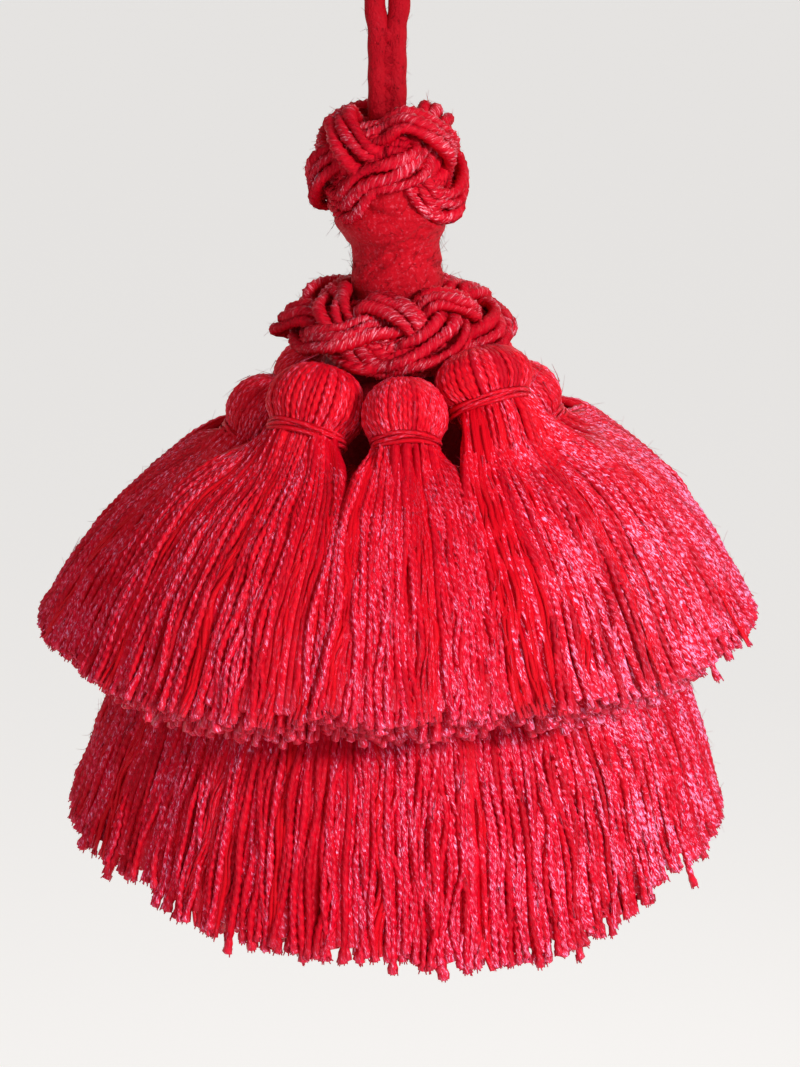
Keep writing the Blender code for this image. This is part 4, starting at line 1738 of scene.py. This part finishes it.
    def frayed_ends(self, made: YarnSet) -> Shape:
        """Short fibres that splay out of the cut ends.

        Args:
            made: The yarns whose ends fray.

        Returns:
            The fibres as one shape.
        """
        along = unit(made.centre[:, -1] - made.centre[:, -3])
        roots = np.repeat(made.centre[:, -1] - 0.5 * along, self.frays, axis=0)
        out = self.rng.normal(0.0, 1.0, roots.shape)
        heading = unit(np.repeat(along, self.frays, axis=0) + 0.26 * out)
        spread = unit(np.cross(heading, out))
        roots = roots + spread * self.rng.uniform(0.1, 0.5, (len(roots), 1))
        reach = self.rng.uniform(0.55, 1.05, (len(roots), 1))
        centre = np.stack([roots, roots + reach * heading], axis=1)
        return Strands(
            centre=centre,
            away=np.broadcast_to(spread[:, None], centre.shape),
            half_width=np.array(self.fray_half_widths),
            half_depth=np.array(self.fray_half_widths),
            sides=3,
            tint=self.rng.uniform(0.3, 1.0, len(roots)),
            floss=0.3,
            tip=0.8,
        ).shape()

    def stray_fuzz(self, sets: list[YarnSet]) -> Shape:
        """Fine fibres that stand out of the skirt's face, and thicker ones that lie along its yarns, painted
        pale as glints.

        Args:
            sets: The yarns that the fibres stand out of, a set for each family.

        Returns:
            The fibres as one shape.
        """
        shapes = []
        for made in sets:
            count = self.tier.fuzz // len(sets)
            yarn = self.rng.integers(0, made.centre.shape[0], count)
            sample = self.rng.integers(1, made.centre.shape[1] - 2, count)
            along = unit(made.centre[yarn, sample + 1] - made.centre[yarn, sample])
            away = made.away[yarn, sample]
            roots = made.centre[yarn, sample] + away * made.half_depth[yarn, sample, None] * 0.9
            fine = loose_fibres(
                self.rng,
                roots,
                along,
                away,
                self.fuzz_length,
                lift=0.35,
                spread=0.7,
                half_width=self.fuzz_width,
                floss=0.3,
            )
            # The thicker loose fibres are painted pale as glints: a painted highlight on real stray fibres.
            some = self.rng.permutation(len(roots))[: len(roots) // 4]
            raised = roots[some] + 0.12 * away[some]
            thick = loose_fibres(
                self.rng,
                raised,
                along[some],
                away[some],
                self.thick_length,
                lift=0.05,
                spread=0.10,
                half_width=self.thick_width,
                floss=0.3,
                tip=4.0,
                curl=0.08,
            )
            shapes += [fine, thick]
        return Shape.joined(shapes)

    def core(self) -> Shape:
        """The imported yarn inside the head, as a turned solid a little smaller than the head.

        Returns:
            The core as one shape.
        """
        radius = self.seat.head_radius
        centre = self.in_tier(-CORE_PROFILE[:, 1:] * UP * radius)[None]
        return Strands(
            centre=centre,
            away=np.broadcast_to(self.matrix[:3, 1], centre.shape),
            half_width=CORE_PROFILE[:, 0] * radius,
            half_depth=CORE_PROFILE[:, 0] * radius,
            sides=20,
            tint=0.4,
            floss=1.0,
        ).shape()

    def build(self, material: bpy.types.Material) -> bpy.types.Object:
        """The small tassel's yarns, core, cut ends and fuzz as one piece.

        Args:
            material: The yarn's finish.

        Returns:
            The tassel's object.
        """
        sets = [(family, self.yarns(family)) for family in self.tier.families]
        faces = [made for family, made in sets if family.in_face]
        shapes = [self.strands(family, made) for family, made in sets]
        shapes += [self.frayed_ends(made) for made in faces]
        shapes += [self.stray_fuzz(faces), self.core()]
        name = f"{self.tier.name}_small_tassel_{self.index + 1}"
        return Shape.joined(shapes).moved(LEAN).to_object(name, material)

    def build_tie(self, material: bpy.types.Material) -> bpy.types.Object:
        """The thread tied round the head's groove: a few flat turns of soft thread, each a closed ring.

        Args:
            material: The thread's finish.

        Returns:
            The tie's object.
        """
        turn = np.linspace(0.0, FULL_TURN, 72, endpoint=False)
        number = np.arange(len(self.tie_turns))[:, None]
        offset = np.array(self.tie_turns)[:, None]
        radius = self.seat.head_radius
        r = 0.80 * radius - 0.16 + 0.09 * np.sin(3 * turn + 2 * number) + 0.04 * np.sin(7 * turn + number)
        z = -TIE_ALONG * radius + offset + 0.16 * np.sin(turn + 2.0 * number)
        z += 0.07 * np.sin(4 * turn + number)
        centre = self.in_tier(np.stack([r * np.cos(turn), r * np.sin(turn), z], axis=-1))
        axis = unit(self.matrix[:3, 2])
        from_head = centre - self.matrix[:3, 3]
        strands = Strands(
            centre=centre,
            away=unit(from_head - (from_head @ axis)[..., None] * axis),
            half_width=self.tie_half_width,
            half_depth=self.tie_half_depth,
            sides=4,
            tint=np.array([0.5, 0.8, 0.6, 0.7]),
            floss=0.5,
            closed=True,
        )
        return strands.shape().moved(LEAN).to_object(f"{self.tier.name}_head_tie_{self.index + 1}", material)


# ---------------------------------------------------------------- the stage


@dataclass(frozen=True)
class Lamp:
    """A square area light: its place and size in metres, its watts and its colour."""

    name: str
    place: tuple[float, float, float]
    size: float
    watts: float
    colour: Colour


@dataclass
class Stage:
    """Pale floor, soft studio lights and the camera."""

    distance: float = 0.280
    elevation: float = 17.5
    aim: tuple[float, float, float] = (0.0015, 0.0, -0.08225)
    half_height_share: float = 533.5 / 2240.0
    sensor: float = 36.0
    clip: Bounds = (0.01, 50.0)
    floor_height: float = -0.5
    floor_size: float = 14.0
    floor_colour: Colour = (0.86, 0.85, 0.84)
    floor_roughness: float = 0.9
    floor_glow: float = 0.40
    surroundings: Colour = (1.0, 0.985, 0.97)
    surroundings_strength: float = 0.44
    lamps: tuple[Lamp, ...] = (
        Lamp("key", (0.33, -0.37, 0.14), 0.09, 2.6, (1.0, 0.97, 0.95)),
        Lamp("fill", (-0.45, -0.35, 0.05), 0.40, 0.12, (1.0, 0.98, 0.98)),
        Lamp("low fill", (0.10, -0.50, -0.27), 0.40, 0.5, (1.0, 0.98, 0.98)),
        Lamp("back", (0.25, 0.45, 0.25), 0.30, 0.8, (1.0, 0.98, 0.96)),
    )

    def camera(self) -> None:
        """The camera, in front and a little above, which looks down at its aim."""
        pitch = math.radians(self.elevation)
        data = bpy.data.cameras.new("camera")
        data.sensor_fit = "AUTO"
        data.sensor_width = self.sensor
        data.lens = self.sensor / 2.0 / self.half_height_share
        data.clip_start, data.clip_end = self.clip
        camera = in_scene("camera", data)
        camera.location = Vector(self.aim) + Vector((0.0, -math.cos(pitch), math.sin(pitch))) * self.distance
        camera.rotation_euler = (math.pi / 2.0 - pitch, 0.0, 0.0)
        bpy.context.scene.camera = camera

    def light(self, lamp: Lamp) -> None:
        """Sets up a lamp so that it points at the aim.

        Args:
            lamp: What the light is like.
        """
        data = bpy.data.lights.new(lamp.name, "AREA")
        data.size = lamp.size
        data.energy = lamp.watts
        data.color = lamp.colour
        obj = in_scene(lamp.name, data)
        obj.location = lamp.place
        obj.rotation_euler = (Vector(self.aim) - Vector(lamp.place)).to_track_quat("-Z", "Y").to_euler()

    def floor(self) -> None:
        """The plain pale floor."""
        mesh = bpy.data.meshes.new("floor")
        half = self.floor_size / 2.0
        corners = [(-half, -half), (half, -half), (half, half), (-half, half)]
        mesh.from_pydata([(x, y, self.floor_height) for x, y in corners], [], [(0, 1, 2, 3)])
        material, wires, shader = new_material("pale_floor")
        wires.feed(shader.inputs["Base Color"], self.floor_colour)
        wires.feed(shader.inputs["Roughness"], self.floor_roughness)
        wires.feed(shader.inputs["Emission Color"], self.surroundings)
        wires.feed(shader.inputs["Emission Strength"], self.floor_glow)
        mesh.materials.append(material)
        obj = in_scene("floor", mesh)

    def build(self) -> None:
        """Camera, floor, lights and pale surroundings."""
        self.camera()
        self.floor()
        for lamp in self.lamps:
            self.light(lamp)
        world = bpy.data.worlds.new("surroundings")
        world.use_nodes = True
        background = world.node_tree.nodes["Background"]
        background.inputs["Color"].default_value = (*self.surroundings, 1.0)
        background.inputs["Strength"].default_value = self.surroundings_strength
        bpy.context.scene.world = world
        bpy.context.scene.view_settings.view_transform = "Standard"


# ---------------------------------------------------------------- the tassel


BALL = CordKnot(
    name="ball_knot_cords",
    bights=4,
    swing=0.5,
    turned=7.0,
    profile=((5.2, -2.8), (7.1, -4.9), (7.8, -7.8), (7.7, -10.2), (7.4, -11.9)),
    lean=0.0,
    front_rise=3.6,
    rim=((6.7, -9.2), (7.5, -10.5), (6.85, -11.9), (6.7, -13.1)),
    seed=21,
)
COLLAR = CordKnot(
    name="collar_knot_cords",
    bights=7,
    swing=0.3,
    turned=180.0 / 7.0,
    profile=((7.6, -23.7), (10.4, -25.2), (12.9, -27.6)),
    lean=LEAN,
    front_rise=-1.6,
    seed=22,
)
UPPER = Tier(
    name="upper",
    tilt=32.0,
    stations=(
        Station(0.92, 26.4, -38.8, 23.0, -43.6, 1.0, 0.0),
        Station(1.0, 30.2, -41.6, 27.0, -46.0, 1.0, 0.0),
        Station(1.00, 38.9, -51.8, 35.3, -55.6, 0.6, 0.2),
        Station(1.00, 44.3, -62.0, 39.8, -66.4, 0.0, 1.0),
    ),
    seats=(
        Seat(3.0, 5.2, 1.00, 18.0, -34.2, 0.5, -0.6, 0.70, ((0.15, 0.12), (-0.75, 0.08))),
        Seat(
            36.5, 5.7, 0.78, 16.6, -31.2, -0.5, 0.0, 1.15,
            full_bands=((-0.72, 0.18), (-0.30, 0.07), (0.25, 0.05)),
            head_width=1.18,
        ),
        Seat(84.0, 5.4, 1.00, 15.0, -36.4, 1.4, 0.5, 1.00),
        Seat(138.0, 5.3, 1.00, 15.6, -35.5, 1.2, 0.5, 1.00, ((0.3, 0.1),)),
        Seat(180.0, 5.3, 1.00, 16.2, -35.4, 1.8, 0.5, 1.00, ((-0.4, 0.12),)),
        Seat(222.0, 5.3, 1.00, 15.9, -36.7, 3.4, 3.8, 1.10),
        Seat(275.5, 5.6, 1.00, 15.6, -38.4, 4.5, 1.0, 1.00, ((0.5, 0.1),)),
        Seat(
            325.5, 5.6, 1.00, 16.3, -34.0, 1.5, 1.3, 1.10,
            full_bands=((0.78, 0.12), (0.1, 0.05), (-0.5, 0.06)),
            head_width=1.16,
        ),
    ),
    families=(
        YarnFamily(Layer.FRONT_WRAP, 28, 0.00, 0.05, BEAD / 2.0, 4, 1.00),
        YarnFamily(Layer.FACE, 28, 0.00, 0.07, BEAD / 2.0, 4, 1.00),
        YarnFamily(Layer.UNDER, 34, 0.115, 0.135, 3.4, 4, 1.55),
        YarnFamily(Layer.BACK_WRAP, 18, 0.70, 1.00, 2.4, 3, 1.00),
        YarnFamily(Layer.FILLING, 34, 0.20, 0.55, 2.4, 3, 1.05),
        YarnFamily(Layer.FILLING, 30, 0.50, 0.95, 2.4, 3, 1.05),
    ),
    hidden_length=0.0,
    shown_filling=14.0,
    fuzz=270,
    tied=True,
)
LOWER = Tier(
    name="lower",
    tilt=26.0,
    stations=(
        Station(0.90, 27.5, -56.0, 12.0, -59.0, 0.8, 0.0),
        Station(1.03, 37.6, -73.0, 12.0, -76.0, 1.0, 0.2),
        Station(1.04, 41.8, -91.8, 11.0, -98.0, 0.2, 1.0),
    ),
    seats=(
        Seat(
            21.0, 4.8, 1.0, 14.4, -45.2, 0.0, 1.2, 1.0,
            full_bands=((-0.35, 0.06),),
            strays=((0.38, 1.9, 0.3), (-0.70, 0.9, 0.0)),
        ),
        Seat(64.0, 4.8, 1.0, 14.4, -45.6, 0.0, -4.2, 0.8, strays=((-0.50, 3.0, 2.4),)),
        Seat(110.0, 4.8, 1.0, 14.4, -45.2, 0.0, -2.0, 1.0),
        Seat(156.0, 4.8, 1.0, 14.4, -45.0, 0.0, -1.5, 1.0, ((0.2, 0.1),)),
        Seat(203.0, 4.8, 1.0, 14.4, -46.0, 1.0, -1.0, 1.15),
        Seat(250.0, 4.8, 1.0, 14.4, -48.6, 3.0, -4.0, 1.0, ((0.3, 0.08),)),
        Seat(296.0, 4.8, 1.0, 14.4, -48.4, 3.5, -4.8, 1.0, ((0.2, 0.1),), strays=((0.42, 1.2, -0.4),)),
        Seat(
            339.0, 4.8, 1.0, 14.4, -45.6, 1.0, -0.8, 1.2,
            full_bands=((0.05, 0.07), (-0.55, 0.05)),
            strays=((-0.26, 1.5, -0.4),),
        ),
    ),
    families=(
        YarnFamily(Layer.FRONT_WRAP, 24, 0.00, 0.015, BEAD / 2.0, 4, 1.00),
        YarnFamily(Layer.FACE, 32, 0.00, 0.02, BEAD / 2.0, 4, 1.00),
        YarnFamily(Layer.UNDER, 34, 0.030, 0.036, 3.4, 4, 1.62),
        YarnFamily(Layer.BACK_WRAP, 14, 0.50, 0.78, 3.0, 3, 1.00),
        YarnFamily(Layer.FILLING, 50, 0.06, 0.25, 2.4, 3, 1.05),
        YarnFamily(Layer.FILLING, 56, 0.22, 0.80, 2.8, 3, 1.15),
    ),
    hidden_length=24.0,
    shown_filling=20.0,
    fuzz=220,
    tied=False,
)
KNOT_SHADES = {
    "deep": (0.56, 0.0014, 0.0180),
    "bright": (0.74, 0.0060, 0.0460),
    "warm": (0.74, 0.0060, 0.0300),
    "full": (0.68, 0.0014, 0.0130),
    "pale": (1.0, 0.24, 0.36),
}
CORD_SHADES = {
    name: (0.56 * red, 0.5 * green, 0.50 * blue) for name, (red, green, blue) in KNOT_SHADES.items()
}
CORD_FINISH = SilkFinish(
    "hanging_cord_silk",
    plies=0.0,
    fibre_length=0.6,
    ply_height=0.0,
    fibre_height=0.0003,
    groove=0.0,
    paleness=0.32,
    roughness=0.6,
    glint=0.1,
    **CORD_SHADES,
)
# The knots' groove is painted shade between the plies, and their paleness partly painted highlight.
KNOT_FINISH = SilkFinish(
    "knot_cord_silk",
    plies=3.0,
    ply_height=0.00018,
    fibre_height=0.0003,
    groove=0.42,
    blob=0.10,
    streak=0.50,
    crown=1.0,
    patchy=0.60,
    paleness=2.9,
    **KNOT_SHADES,
)
YARN_FINISH = SilkFinish("tassel_yarn_silk")
THREAD_FINISH = SilkFinish("tie_thread_silk", roughness=0.42)


@dataclass
class SilkTassel:
    """The whole tassel."""

    effects: SilkEffects = field(default_factory=SilkEffects)

    def dress(self, obj: bpy.types.Object, slot: str, *nodes: str) -> None:
        """A finished piece rides on the root and stands for its solids, which it hides.

        Args:
            obj: The finished piece.
            slot: The name of its finish's slot; not used.
            *nodes: The solids that it replaces.
        """
        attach(obj, "root")
        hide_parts(*nodes)
        log.info("%s: %d faces", obj.name, len(obj.data.polygons))

    def build(self) -> None:
        """Every piece, from the cord down."""
        finishes = (CORD_FINISH, KNOT_FINISH, YARN_FINISH, THREAD_FINISH)
        cord, knotted, yarn, thread = (finish.material(self.effects) for finish in finishes)
        wrapping = WrapFinish("neck_wrapping_silk").material()
        self.dress(HangingLoop().build(cord), "hanging_cord", "hanging_loop")
        self.dress(BALL.build(knotted), "knot_cord", "top_knot")
        self.dress(WrappedNeck().build(wrapping), "neck_wrap", "wrapped_neck")
        self.dress(COLLAR.build(knotted), "knot_cord", "collar_knot")
        for seed, tier in enumerate((UPPER, LOWER), start=1):
            for index in range(len(tier.seats)):
                small = SmallTassel(tier, index, seed)
                self.dress(small.build(yarn), "tassel_silk", f"{tier.name}_tassel_{index + 1}")
                if tier.tied:
                    self.dress(small.build_tie(thread), "tie_thread", f"{tier.name}_tie_{index + 1}")


def main() -> None:
    """Loads the frame, sets the stage and builds the tassel."""
    logging.basicConfig(level=logging.INFO, format="%(name)s: %(message)s")
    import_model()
    Stage().build()
    SilkTassel().build()
    bpy.context.view_layer.update()


if __name__ == "__main__":
    main()
